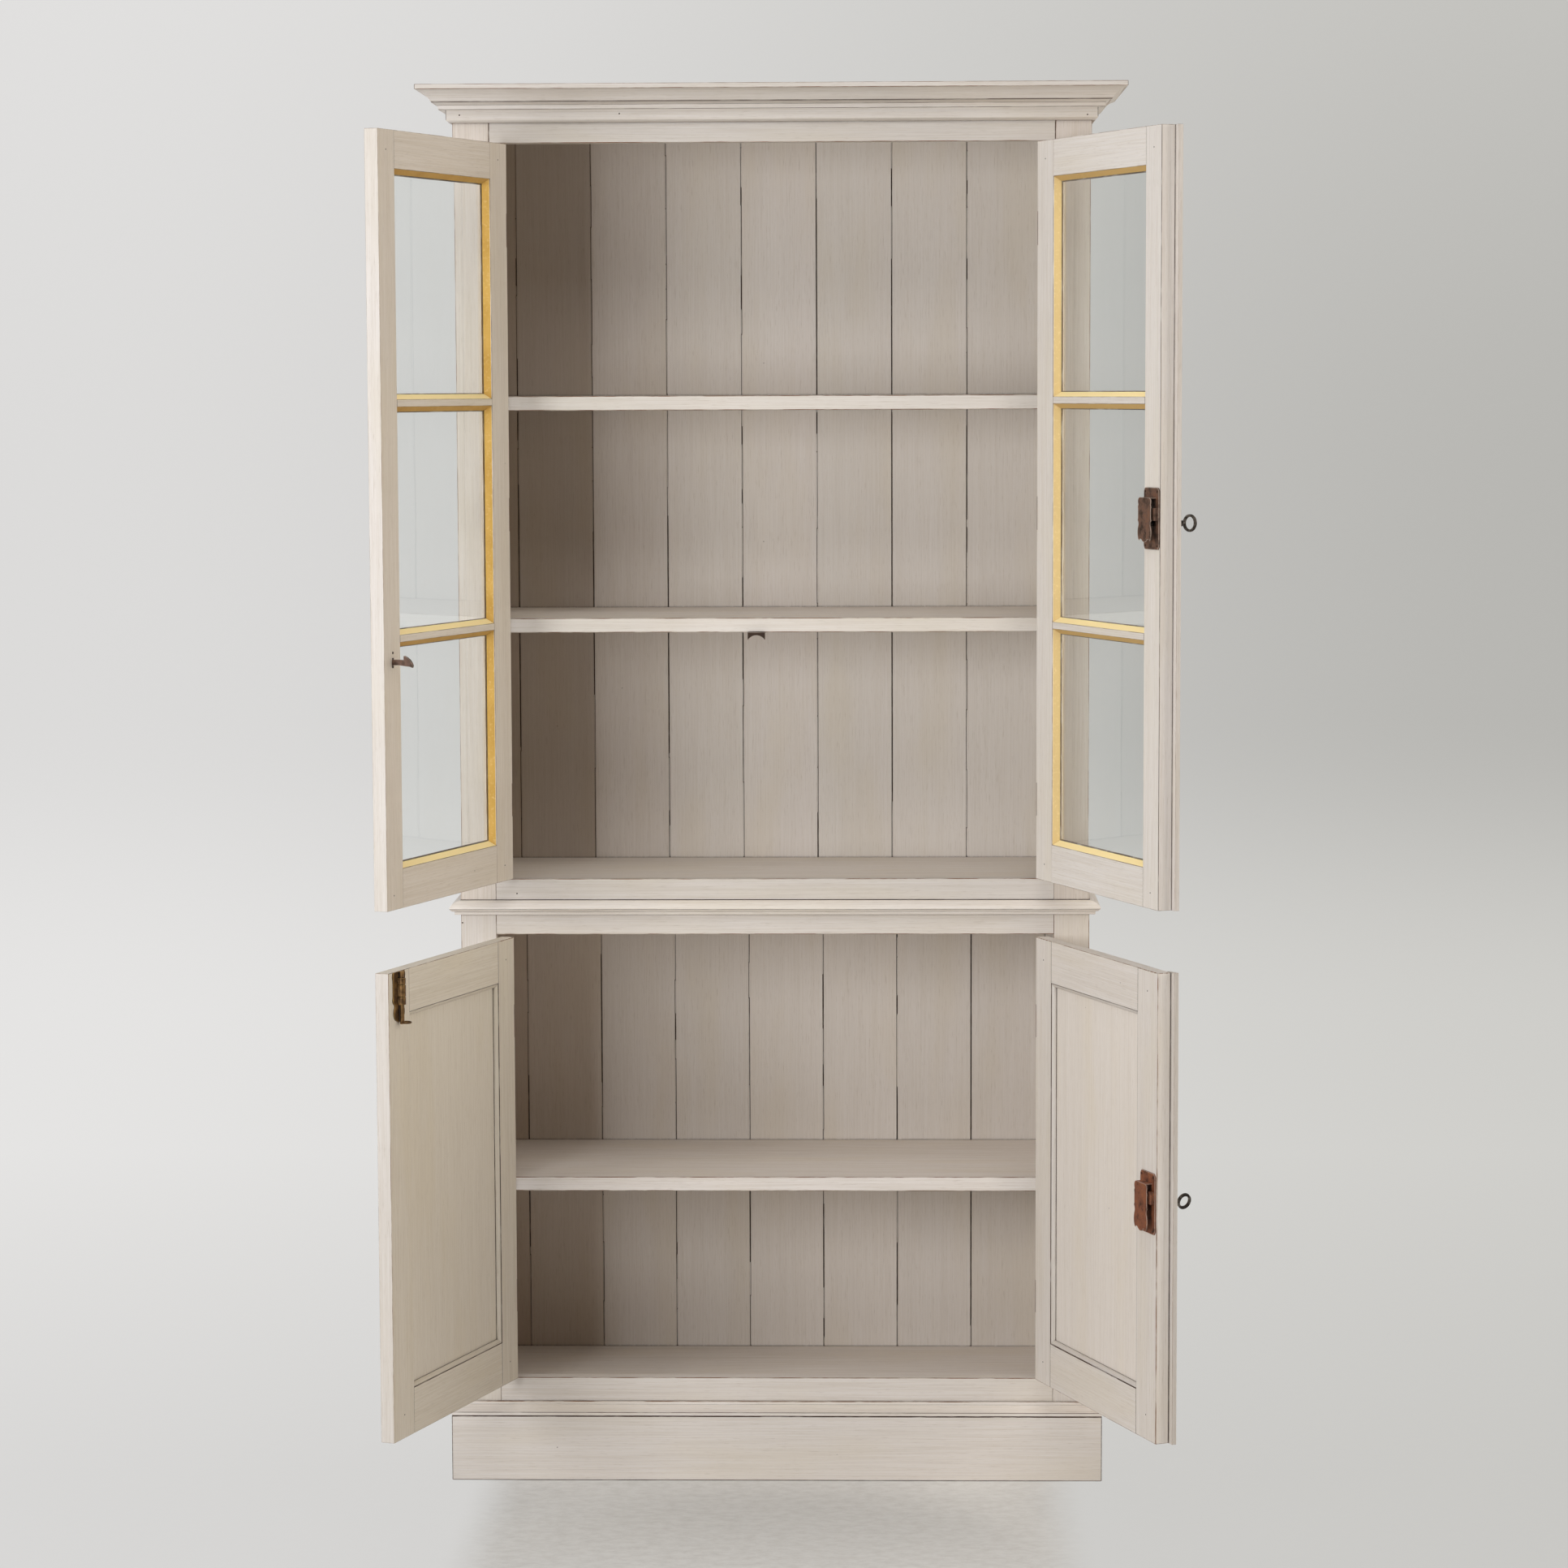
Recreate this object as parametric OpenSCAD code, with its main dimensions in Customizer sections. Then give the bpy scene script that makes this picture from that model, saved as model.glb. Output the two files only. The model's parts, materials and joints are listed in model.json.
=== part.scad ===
// Two-part painted display cabinet: glazed doors above, panelled doors below, all four standing open.
// Frame: X to the right, Y into the cabinet, Z up. The origin is on the floor, at mid width,
// in the plane of the front of the face frame.

/* [Cases] */
// Width across the sides of both cases
case_w = 918; // [840:1:1000]
// Width of the upright at each side of the door openings
stile_w = 52; // [46:1:64]
// Thickness of the face frame
frame_t = 22; // [20:1:26]
// Thickness of the side boards
side_t = 20; // [18:1:22]
// Depth from the front of the face frame to the back boards
inner_d = 345; // [300:1:400]
// Thickness of the tongued and grooved back boards
back_t = 15; // [13:1:18]
// Visible width of one back board
board_w = 114.4; // [90:0.1:130]

/* [Heights] */
// Height of the plinth boards
plinth_h = 96.5; // [80:0.5:120]
// How far the plinth stands out from the case
plinth_out = 20; // [14:1:26]
// Height of the moulded cap on the plinth
cap_h = 18.5; // [14:0.5:22]
// Part of the lower bottom rail that shows above the cap
lower_sill_h = 35; // [25:1:50]
// Height of the lower door opening
lower_open_h = 660; // [600:1:720]
// Height of the rail over the lower doors
lower_head_h = 50.5; // [44:0.5:60]
// Height of the rail under the upper doors
upper_sill_h = 31.5; // [25:0.5:40]
// Height of the upper door opening
upper_open_h = 1064; // [1000:1:1120]
// Height from the upper opening to the top of the case
frieze_h = 74; // [66:1:84]

/* [Shelves] */
// Thickness of the shelves
shelf_t = 21; // [18:1:24]
// Set-back of the shelves behind the front of the face frame
shelf_y = 40; // [36:1:60]
// Underside of the shelf in the lower case
lower_shelf_z = 421.7; // [350:0.1:480]
// Underside of the middle shelf
middle_shelf_z = 1249.6; // [1200:0.1:1300]
// Underside of the upper shelf
upper_shelf_z = 1572.9; // [1500:0.1:1640]

/* [Doors] */
// Thickness of the doors
door_t = 20; // [18:0.5:22]
// Opening angle of the left doors
left_open = 110; // [0:1:170]
// Opening angle of the right doors
right_open = 112; // [0:1:170]
// Width of the hinge stile of a glazed door
glazed_hinge_stile = 55; // [48:1:62]
// Width of the meeting stile of a glazed door
glazed_meeting_stile = 48.5; // [44:0.5:56]
// Height of the top rail of a glazed door
glazed_top_rail = 52; // [46:1:60]
// Height of the bottom rail of a glazed door
glazed_bottom_rail = 55; // [48:1:64]
// Width of a glazing bar on its outer side
bar_w = 26; // [22:1:30]
// Width of the hinge stile of a panelled door
panel_hinge_stile = 54.4; // [48:0.1:62]
// Width of the meeting stile of a panelled door
panel_meeting_stile = 63; // [56:1:70]
// Height of the top rail of a panelled door
panel_top_rail = 61; // [54:1:70]
// Height of the bottom rail of a panelled door
panel_bottom_rail = 65; // [56:1:74]
// Recess of the panel on the inner side
panel_recess = 6.5; // [5:0.5:8]

/* [Fittings] */
// Height of a butt hinge
hinge_h = 48; // [40:1:60]
// Radius of a hinge pin
pin_r = 2; // [1.6:0.1:2.4]
// Distance of the pin axis in front of the face frame
pin_out = 8; // [7.5:0.1:10]
// Height of the upper keyhole
upper_key_z = 1420; // [1380:1:1460]
// Height of the lower keyhole
lower_key_z = 484; // [440:1:540]
// Tilt of the lower key
lower_key_tilt = 20; // [0:1:40]

/* [Hidden] */
$fn = 48;

half_w = case_w / 2;
opening_w = case_w - 2 * stile_w;
back_y = inner_d + back_t;
lower_base_z = plinth_h;
lower_open_z = plinth_h + cap_h + lower_sill_h;
lower_head_z = lower_open_z + lower_open_h;
waist_z = lower_head_z + lower_head_h;
upper_open_z = waist_z + upper_sill_h;
frieze_z = upper_open_z + upper_open_h;
case_top_z = frieze_z + frieze_h;
fascia_show = 29;
cornice_z = frieze_z + fascia_show;
cornice_out = 49;
return_stop = 48;
cornice_end_y = inner_d - return_stop;
waist_moulding_h = 20.5;
waist_out = 16;
plinth_in = 10;
lower_floor_drop = 33.5;
upper_floor_drop = 13;
lower_floor_z = lower_open_z - lower_floor_drop;
upper_floor_z = upper_open_z - upper_floor_drop;
floor_t = 18;
floor_rise = 5;
upper_seam_x = -399;
lower_seam_x = -392;
top_board_drop = 2;
housing = 7;
joint_len = 30;

hinge_gap = 1.5;
meeting_gap = 1;
door_gap = 2;
door_w = opening_w / 2 - hinge_gap - meeting_gap / 2;
upper_door_z = upper_open_z + door_gap;
upper_door_h = upper_open_h - 2 * door_gap;
lower_door_z = lower_open_z + 3;
lower_door_h = lower_open_h - 4.5;
pin_x = -opening_w / 2 + hinge_gap / 2;

lip = 8.5;
lip_t = 7.3;
glass_v = 10;
glass_t = 2.7;
bar_nib = 10;
putty_short = 1.5;
tenon_t = 6;
tenon_in = 8;
seam = 0.1;
panel_t = 8;
knuckle_r = 4.7;
leaf_t = 2;
leaf_len = 20;
pin_clear = 0.05;
upper_key_u = 386;
lower_key_u = 376;
hook_u = 379;
hook_z = 1233;
hook_pivot_v = 12;
hook_pivot_r = 1.5;
hook_pivot_len = 18;
bolt_u = door_w - panel_meeting_stile / 2 + 1.8;
bolt_v = door_t + 5.5;
bolt_top = lower_door_z + lower_door_h;
hinge_up = 116;
hinge_mid = 530;
hinge_down = 123;
lower_hinge_up = 124.6;
upper_hinges = [upper_door_z + hinge_up, upper_door_z + hinge_mid, upper_door_z + upper_door_h - hinge_down];
lower_hinges = [lower_door_z + lower_hinge_up, lower_door_z + lower_door_h - hinge_down];

// An arc of n steps from p to q that bulges by sag to the left of the way from p to q
function bow(p, q, sag, n) =
    let (
        way = q - p,
        chord = norm(way),
        along = way / chord,
        side = [-along[1], along[0]],
        bulge = abs(sag),
        turn = sag > 0 ? 1 : -1,
        radius = (chord * chord / 4 + bulge * bulge) / (2 * bulge),
        centre = (p + q) / 2 + side * turn * (bulge - radius),
        half = asin(chord / 2 / radius)
    )
    [for (i = [0 : n])
        let (a = -half + 2 * half * i / n)
        centre + radius * (cos(a) * side * turn + sin(a) * along)];

// The same arc without its first point, to go on from the one before it
function bow_on(p, q, sag, n) = let (arc = bow(p, q, sag, n)) [for (i = [1 : n]) arc[i]];

// A flat outline with two equal sides, from its right half listed from the top to the tip
module both_sides(half) {
    polygon(concat(half, [for (i = [len(half) - 2 : -1 : 0]) [-half[i][0], half[i][1]]]));
}

// Section of the cornice: distance out from the case, height above its foot
function cornice_section() = concat(
    [[0, 0]],
    bow([1, 0], [8.5, 4.6], -1.4, 6),
    [[8.5, 18], [17.8, 18], [18.5, 18.7], [18.5, 24.2]],
    bow([19.3, 24.6], [27.3, 28], 0.8, 5),
    [[27.3, 29]],
    bow([28.2, 29.4], [47, 45], 2.4, 8),
    [[cornice_out, 45.5], [cornice_out, 52.5], [0, 52.5]]
);

// Section of the waist moulding
function waist_section() = concat(
    [[0, 0], [7.5, 0], [8.5, 1], [8.5, 4.4]],
    bow([9.4, 4.8], [14.8, 8.2], -0.9, 5),
    [[15.7, 9], [15.7, 10.6]],
    bow([15.2, 12], [1, waist_moulding_h], -1.6, 8),
    [[0, waist_moulding_h]]
);

// Section of the moulded cap that stands on the plinth boards
function cap_section() = concat(
    [[0, 0], [plinth_out, 0], [plinth_out, 5]],
    bow([plinth_out - 0.8, 5.8], [4, cap_h - 4.6], 0.9, 7),
    [[3, cap_h - 4.6], [3, cap_h], [0, cap_h]]
);

// A moulding along the front, mitred at both ends
module front_moulding(section, z, out, reach) {
    intersection() {
        translate([-reach, 0, z]) rotate([90, 0, 90])
            mirror([1, 0]) linear_extrude(2 * reach) polygon(section);
        translate([0, 0, z - 1]) linear_extrude(80)
            polygon([[-half_w - out, -out], [half_w + out, -out], [half_w, 0], [-half_w, 0]]);
    }
}

// A moulding along both sides, mitred at the front
module side_mouldings(section, z, out, end_y) {
    for (side = [0, 1]) mirror([side, 0, 0])
        intersection() {
            translate([half_w, end_y, z]) rotate([90, 0, 0])
                linear_extrude(end_y + out) polygon(section);
            translate([0, 0, z - 1]) linear_extrude(80)
                polygon([[half_w, 0], [half_w + out, -out], [half_w + out, end_y], [half_w, end_y]]);
        }
}

// Side boards of one case, with housings for the boards at the given heights
module side_boards(z, top, housings) {
    for (side = [0, 1]) mirror([side, 0, 0])
        difference() {
            translate([half_w - side_t, frame_t, z])
                cube([side_t, back_y - frame_t, top - z]);
            translate([half_w - side_t - 1, inner_d, z - 1])
                cube([side_t / 2 + 1, back_t + 1, top - z + 2]);
            for (h = housings)
                translate([half_w - side_t - 1, h[2], h[0]])
                    cube([housing + 1, inner_d - h[2] + 1, h[1]]);
        }
}

// A board across the inside of a case, its ends in the housings
module cross_board(z, t, y) {
    translate([-half_w + side_t - housing, y, z])
        cube([case_w - 2 * side_t + 2 * housing, inner_d - y, t]);
}

// Tongued and grooved boards across the back, the outer two cut to width
module back_boards(z, top, first_seam) {
    edge = half_w - side_t / 2;
    count = floor((edge - first_seam) / board_w);
    cuts = concat([-edge], [for (i = [0 : count]) first_seam + i * board_w], [edge]);
    last = len(cuts) - 2;
    gap = 1.8;
    tongue = 6;
    for (i = [0 : last]) {
        left = cuts[i] + (i == 0 ? 0 : gap / 2);
        right = cuts[i + 1] - (i == last ? 0 : gap / 2);
        translate([0, 0, z]) linear_extrude(top - z) difference() {
            union() {
                translate([left, inner_d]) square([right - left, back_t]);
                if (i < last) translate([right - 0.01, inner_d + 5]) square([tongue, 4]);
            }
            if (i > 0) translate([left - 1, inner_d + 4.7]) square([tongue, 4.6]);
        }
    }
}

// Two uprights of the face frame
module frame_stiles(z, top, hinges) {
    for (side = [0, 1]) mirror([side, 0, 0])
        difference() {
            translate([-half_w, 0, z]) cube([stile_w, frame_t, top - z]);
            for (h = hinges)
                translate([-opening_w / 2 - leaf_t, -1, h - hinge_h / 2])
                    cube([leaf_t + 1, leaf_len + 1, hinge_h]);
        }
}

// A rail of the face frame between the uprights
module frame_rail(z, h) {
    translate([-opening_w / 2, 0, z]) cube([opening_w, frame_t, h]);
}

// One leaf: its plate, the straps that reach the knuckles and the knuckles themselves
module hinge_leaf(h, first) {
    pitch = hinge_h / 5;
    side = first == 0 ? -1 : 1;
    plate_x = side < 0 ? -opening_w / 2 - leaf_t : -opening_w / 2 + hinge_gap;
    plate_y = -pin_out + knuckle_r + 0.4;
    difference() {
        union() {
            translate([plate_x, plate_y, h - hinge_h / 2])
                cube([leaf_t, leaf_len - plate_y, hinge_h]);
            for (k = [first : 2 : 4])
                translate([plate_x, -pin_out, h - hinge_h / 2 + k * pitch + 0.15])
                    cube([leaf_t, plate_y + pin_out + 1, pitch - 0.3]);
            for (k = [first : 2 : 4])
                translate([pin_x, -pin_out, h - hinge_h / 2 + k * pitch + 0.15])
                    cylinder(r = knuckle_r, h = pitch - 0.3);
        }
        translate([pin_x, -pin_out, h - hinge_h / 2 - 1])
            cylinder(r = pin_r + pin_clear, h = hinge_h + 2);
    }
}

// A hinge pin with a low domed end above and below
module hinge_pin(h) {
    translate([pin_x, -pin_out, h - hinge_h / 2 - 1.2]) cylinder(r = pin_r, h = hinge_h + 2.4);
    for (end = [-1, 1])
        translate([pin_x, -pin_out, h + end * (hinge_h / 2 + 0.9)])
            cylinder(r = knuckle_r - 0.9, h = 1.6, center = true);
}

// Places a closed left door at its opening angle
module swing(angle) {
    translate([pin_x, -pin_out, 0]) rotate(-angle) translate([-pin_x, pin_out, 0]) children();
}

// Door space: X from the hinge edge, Y from the outer face, Z from the floor
module left_door() {
    swing(left_open) translate([-opening_w / 2 + hinge_gap, 0, 0]) children();
}

module right_door() {
    mirror([1, 0, 0]) swing(right_open) translate([-opening_w / 2 + hinge_gap, 0, 0]) children();
}

// Section of a glazed stile or rail: face width, then the lip that stops the glass
function glazed_section(w) = concat(
    [[0, 0], [w - 1, 0], [w - 1, 1]],
    bow([w, 1], [w + lip, lip_t - 1.2], 2.2, 6),
    [[w + lip, lip_t], [w, lip_t], [w, door_t], [0, door_t]]
);

// One upright of a glazed door, its hinge side at x = 0, with mortises for the rails
module glazed_stile(w, z, h, tenons) {
    difference() {
        translate([0, 0, z]) linear_extrude(h) polygon(glazed_section(w));
        for (t = tenons)
            translate([w - joint_len, lip_t + 2, t[0]]) cube([joint_len + lip + 1, tenon_t, t[1]]);
    }
}

// One rail of a glazed door between two stiles, its outer edge at z = 0
module glazed_rail(w, x0, x1, tenon_h) {
    difference() {
        translate([x1 - seam, 0, 0]) rotate([0, -90, 0])
            linear_extrude(x1 - x0 - 2 * seam) polygon(glazed_section(w));
        for (x = [x0 - 1, x1 - lip - seam])
            translate([x, -1, -1]) cube([lip + 1 + seam, lip_t + 1 + seam, w + lip + 2]);
    }
    for (x = [x0 - joint_len + 1, x1 - 1])
        translate([x, lip_t + 2 + seam, w - tenon_h - tenon_in + seam])
            cube([joint_len, tenon_t - 2 * seam, tenon_h - 2 * seam]);
}

// Frame of a glazed door: two stiles and two rails
module glazed_frame() {
    x0 = glazed_hinge_stile;
    x1 = door_w - glazed_meeting_stile;
    low = upper_door_z;
    high = upper_door_z + upper_door_h;
    tenon_h = 34;
    tenons = [
        [low + glazed_bottom_rail - tenon_h - tenon_in, tenon_h],
        [high - glazed_top_rail + tenon_in, tenon_h]
    ];
    difference() {
        glazed_stile(x0, low, upper_door_h, tenons);
        for (h = upper_hinges)
            translate([-1, -1, h - hinge_h / 2]) cube([leaf_t + 1, leaf_len + 1, hinge_h]);
    }
    difference() {
        translate([door_w, 0, 0]) mirror([1, 0, 0])
            glazed_stile(glazed_meeting_stile, low, upper_door_h, tenons);
        children();
    }
    translate([0, 0, low]) glazed_rail(glazed_bottom_rail, x0, x1, tenon_h);
    translate([0, 0, high]) mirror([0, 0, 1]) glazed_rail(glazed_top_rail, x0, x1, tenon_h);
}

// Heights of the glazing bars: three panes of equal height
function pane_h() = (upper_door_h - glazed_top_rail - glazed_bottom_rail - 2 * bar_nib) / 3;
function bar_z(i) = upper_door_z + glazed_bottom_rail + (i + 1) * pane_h() + (i + 0.5) * bar_nib;
function pane_z(i) = upper_door_z + glazed_bottom_rail + i * (pane_h() + bar_nib);

// Section of a glazing bar about its middle: moulded outer flange, narrow inner nib
function bar_section() = concat(
    [[-bar_w / 2, lip_t], [-bar_w / 2, lip_t - 1.2]],
    bow([-bar_w / 2, lip_t - 1.2], [-3.5, 1], 2.2, 6),
    [[-3.5, 0], [3.5, 0]],
    bow([3.5, 1], [bar_w / 2, lip_t - 1.2], 2.2, 6),
    [[bar_w / 2, lip_t], [bar_nib / 2, lip_t], [bar_nib / 2, door_t]],
    [[-bar_nib / 2, door_t], [-bar_nib / 2, lip_t]]
);

module glazing_bars() {
    x0 = glazed_hinge_stile;
    x1 = door_w - glazed_meeting_stile;
    for (i = [0, 1])
        translate([x1, 0, bar_z(i)]) rotate([0, -90, 0])
            difference() {
                linear_extrude(x1 - x0) polygon(bar_section());
                for (z = [-1, x1 - x0 - lip])
                    translate([-bar_w, -1, z]) cube([2 * bar_w, lip_t + 1, lip + 1]);
            }
}

module glass_panes() {
    x0 = glazed_hinge_stile + 0.5;
    x1 = door_w - glazed_meeting_stile - 0.5;
    for (i = [0 : 2])
        translate([x0, lip_t, pane_z(i) + 0.5]) cube([x1 - x0, glass_t, pane_h() - 1]);
}

// Putty fillets round each pane: a sloped strip on all four sides, mitred at the corners
module putty_fillets() {
    x0 = glazed_hinge_stile;
    x1 = door_w - glazed_meeting_stile;
    w = x1 - x0;
    h = pane_h();
    hollow = 1.2;
    d = door_t - glass_v - hollow;
    for (i = [0 : 2])
        translate([x0, glass_v, pane_z(i)]) {
            putty_strip(h, w, d);
            translate([w, 0, h]) rotate([0, 180, 0]) putty_strip(h, w, d);
            translate([w, 0, 0]) rotate([0, -90, 0]) putty_strip(w, h, d);
            translate([0, 0, h]) rotate([0, 90, 0]) putty_strip(w, h, d);
        }
}

// One strip of putty along z, against the wall at x = 0, with mitred ends
module putty_strip(len, across, d) {
    half = min(across, len) / 2;
    intersection() {
        linear_extrude(len) polygon([[0, 0], [lip - putty_short, 0], [0, d]]);
        translate([0, d + 1, 0]) rotate([90, 0, 0]) linear_extrude(d + 2)
            polygon([[0, seam], [half, half + seam], [half, len - half - seam], [0, len - seam]]);
    }
}

// Frame of a panelled door, grooved on the inside edge for the panel
module panelled_frame() {
    x0 = panel_hinge_stile;
    x1 = door_w - panel_meeting_stile;
    low = lower_door_z;
    high = lower_door_z + lower_door_h;
    tenon_h = 38;
    tenons = [[low + 12, tenon_h], [high - 12 - tenon_h, tenon_h]];
    difference() {
        translate([0, 0, low]) cube([x0, door_t, lower_door_h]);
        panel_space();
        panelled_tenons(x0 - joint_len, tenons, 0);
        for (h = lower_hinges)
            translate([-1, -1, h - hinge_h / 2]) cube([leaf_t + 1, leaf_len + 1, hinge_h]);
    }
    difference() {
        translate([x1, 0, low]) cube([door_w - x1, door_t, lower_door_h]);
        panel_space();
        panelled_tenons(x1 - 1, tenons, 0);
        children();
    }
    for (rail = [[low, panel_bottom_rail], [high - panel_top_rail, panel_top_rail]])
        difference() {
            translate([x0 + seam, 0, rail[0]]) cube([x1 - x0 - 2 * seam, door_t, rail[1]]);
            panel_space();
        }
    panelled_tenons(x0 - joint_len + 1, tenons, seam);
    panelled_tenons(x1 - 1, tenons, seam);
}

// Tenons of the panelled rails, or with no slack the mortises for them
module panelled_tenons(x, tenons, slack) {
    for (t = tenons)
        translate([x, 6 + slack, t[0] + slack])
            cube([joint_len + 1 - (slack > 0 ? 1 : 0), 7 - 2 * slack, t[1] - 2 * slack]);
}

// Room for the panel and its edge in the frame
module panel_space() {
    x0 = panel_hinge_stile;
    x1 = door_w - panel_meeting_stile;
    low = lower_door_z + panel_bottom_rail;
    high = lower_door_z + lower_door_h - panel_top_rail;
    translate([x0 - housing, door_t - panel_recess - panel_t, low - housing])
        cube([x1 - x0 + 2 * housing, panel_t, high - low + 2 * housing]);
}

module door_panel() {
    x0 = panel_hinge_stile;
    x1 = door_w - panel_meeting_stile;
    low = lower_door_z + panel_bottom_rail;
    high = lower_door_z + lower_door_h - panel_top_rail;
    edge = housing - 1;
    translate([x0 - edge, door_t - panel_recess - panel_t, low - edge])
        cube([x1 - x0 + 2 * edge, panel_t, high - low + 2 * edge]);
}

// Small quadrant beads round the inner side of the panel, mitred at the corners
module panel_beads() {
    x0 = panel_hinge_stile;
    w = door_w - panel_meeting_stile - x0;
    low = lower_door_z + panel_bottom_rail;
    h = lower_door_h - panel_top_rail - panel_bottom_rail;
    translate([x0, door_t - panel_recess, low]) {
        bead_strip(h, w);
        translate([w, 0, h]) rotate([0, 180, 0]) bead_strip(h, w);
        translate([w, 0, 0]) rotate([0, -90, 0]) bead_strip(w, h);
        translate([0, 0, h]) rotate([0, 90, 0]) bead_strip(w, h);
    }
}

module bead_strip(len, across) {
    half = min(across, len) / 2;
    intersection() {
        linear_extrude(len)
            polygon(concat([[0, 0]], bow([6, 0], [0, panel_recess - 0.4], -1.5, 6)));
        translate([0, panel_recess + 1, 0]) rotate([90, 0, 0]) linear_extrude(panel_recess + 2)
            polygon([[0, seam], [half, half + seam], [half, len - half - seam], [0, len - seam]]);
    }
}

// Cover strip on the outer face of a right door: a bead, a quirk and a crowned strip that laps the
// other door
module astragal(z, h) {
    over = 9.5;
    back = 12;
    translate([door_w, 0, z]) linear_extrude(h) difference() {
        mirror([0, 1]) polygon(concat(
            [[-back, 0]],
            bow([-back, 2.5], [-back + 4, 5.5], 1.2, 4),
            [[-back + 4.6, 4.6]],
            bow([-back + 5.4, 5.4], [over - 0.8, 7.4], 0.9, 8),
            [[over, 6.6], [over, 0]]
        ));
        translate([meeting_gap / 2, -0.5]) square([over + 1, 1]);
    }
}

// Right half of a lock cover's outline, from the middle of its top: a rounded ear, a cusp, a straight
// side, a swelling foot and a tongue between its two tips
function cover_half(long) = [
    for (p = concat(
        bow([15, 0], [18.4, 9.6], -3, 6),
        [[20.4, 13], [19.4, 14.2], [19.4, 28.5], [21, 30.5]],
        bow_on([21, 30.5], [18.4, 38], 1.6, 5),
        bow_on([18.4, 38], [17, 57.6], -3, 7),
        bow_on([17, 57.6], [9, 56], 1.2, 4),
        bow_on([9, 56], [0, 59.6], -1, 5)
    )) [p[0], -p[1] * long / 59.6]
];

// Back plate of a rim lock on the inner face of a right door, and its cover, which is folded out
// from the plate along its top and stands open below
module lock_case(u0, u1, z0, z1, cover_u, cover_top, cover_long, key_u, key_z) {
    plate_t = 2;
    raise = 9;
    sheet = 1.5;
    nip_u = 3.5;
    nip_z = 4.5;
    fold_half = 15;
    key_hole = 4.2;
    difference() {
        translate([0, door_t + plate_t, 0]) rotate([90, 0, 0]) linear_extrude(plate_t)
            polygon([
                [u0 + nip_u, z0], [u1 - nip_u, z0], [u1, z0 + nip_z], [u1, z1 - nip_z],
                [u1 - nip_u, z1], [u0 + nip_u, z1], [u0, z1 - nip_z], [u0, z0 + nip_z]
            ]);
        translate([key_u, door_t + plate_t + 1, key_z]) rotate([90, 0, 0])
            cylinder(r = key_hole, h = plate_t + 2);
    }
    translate([cover_u, door_t + plate_t + raise + sheet, cover_top]) rotate([90, 0, 0])
        linear_extrude(sheet) both_sides(cover_half(cover_long));
    translate([cover_u - fold_half, door_t + plate_t - 0.01, cover_top - sheet])
        cube([2 * fold_half, raise + sheet, sheet]);
}

// Sliding bolt of a rim lock: a grooved head at the door's edge and a thin tail beside the key
module lock_bolt(u0, u1, z0, z1, tail_u, tail_z0, tail_z1) {
    v = door_t + 2.3;
    thick = 6.2;
    rounding = 2.6;
    groove = 1.4;
    depth = 0.9;
    difference() {
        translate([u0, v, z0]) cube([u1 - u0, thick, z1 - z0]);
        translate([(u0 + u1 - groove) / 2, v + thick - depth, z0 - 1])
            cube([groove, depth + 1, z1 - z0 + 2]);
        translate([u1 - depth, v + (thick - groove) / 2, z0 - 1])
            cube([depth + 1, groove, z1 - z0 + 2]);
        translate([u0 + rounding, v - 1, z1 - rounding]) rotate([-90, 0, 0])
            linear_extrude(thick + 2) difference() {
                translate([-rounding - 1, -rounding - 1]) square(rounding + 1);
                circle(r = rounding);
            }
    }
    translate([tail_u, v, tail_z0]) cube([u0 - tail_u + 0.01, 2.2, tail_z1 - tail_z0]);
}

// Key through the door, its bow upright on the outer side, about its own axis
module key(bow_out) {
    shank_r = 2.8;
    tip = door_t + 8.5;
    bow_long = 10;
    bow_tall = 12;
    bow_wall = 3.5;
    bit_t = 2.6;
    bit_drop = 11;
    root = -bow_out + bow_long - 1.5;
    translate([0, root, 0]) rotate([-90, 0, 0]) cylinder(r = shank_r, h = tip - root);
    translate([0, root + 4, 0]) rotate([-90, 0, 0])
        cylinder(r = shank_r + 1.4, h = 2.2, center = true);
    translate([0, -bow_out, 0]) rotate([0, -90, 0]) linear_extrude(3.4, center = true)
        difference() {
            scale([bow_tall, bow_long]) circle(r = 1);
            scale([bow_tall - bow_wall, bow_long - bow_wall]) circle(r = 1);
        }
    translate([-bit_t / 2, tip - 3.6, -bit_drop]) cube([bit_t, 3.2, bit_drop - 1]);
}

// Right half of the surface bolt plate's outline, from the middle of its top: an ear, a long straight
// side, a second ear, a waist and a rounded leaf
function bolt_plate_half() = concat(
    [[17, 0]],
    bow([17, -1], [17.5, -11], 1.8, 5),
    bow([17.5, -35], [15.5, -44.5], 2.2, 5),
    bow_on([15.5, -44.5], [13, -49], -1.2, 4),
    bow_on([13, -49], [8, -68], 5.6, 7),
    bow_on([8, -68], [0, -70.4], 0.6, 4)
);

// Plate of the surface bolt and the three short tubes that guide its rod
module bolt_plate() {
    plate_t = 1.6;
    tube_r = 5.4;
    bore_r = 3.1;
    foot = bolt_v - door_t;
    translate([bolt_u, door_t + plate_t, bolt_top]) rotate([90, 0, 0])
        linear_extrude(plate_t) both_sides(bolt_plate_half());
    for (span = [[-17.5, -9], [-34.5, -18.5], [-46, -35.5]]) {
        long = span[1] - span[0];
        translate([bolt_u, bolt_v, bolt_top + span[0]]) difference() {
            union() {
                cylinder(r = tube_r, h = long);
                translate([-tube_r, -foot, 0]) cube([2 * tube_r, foot, long]);
            }
            translate([0, 0, -1]) cylinder(r = bore_r, h = long + 2);
        }
    }
}

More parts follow.
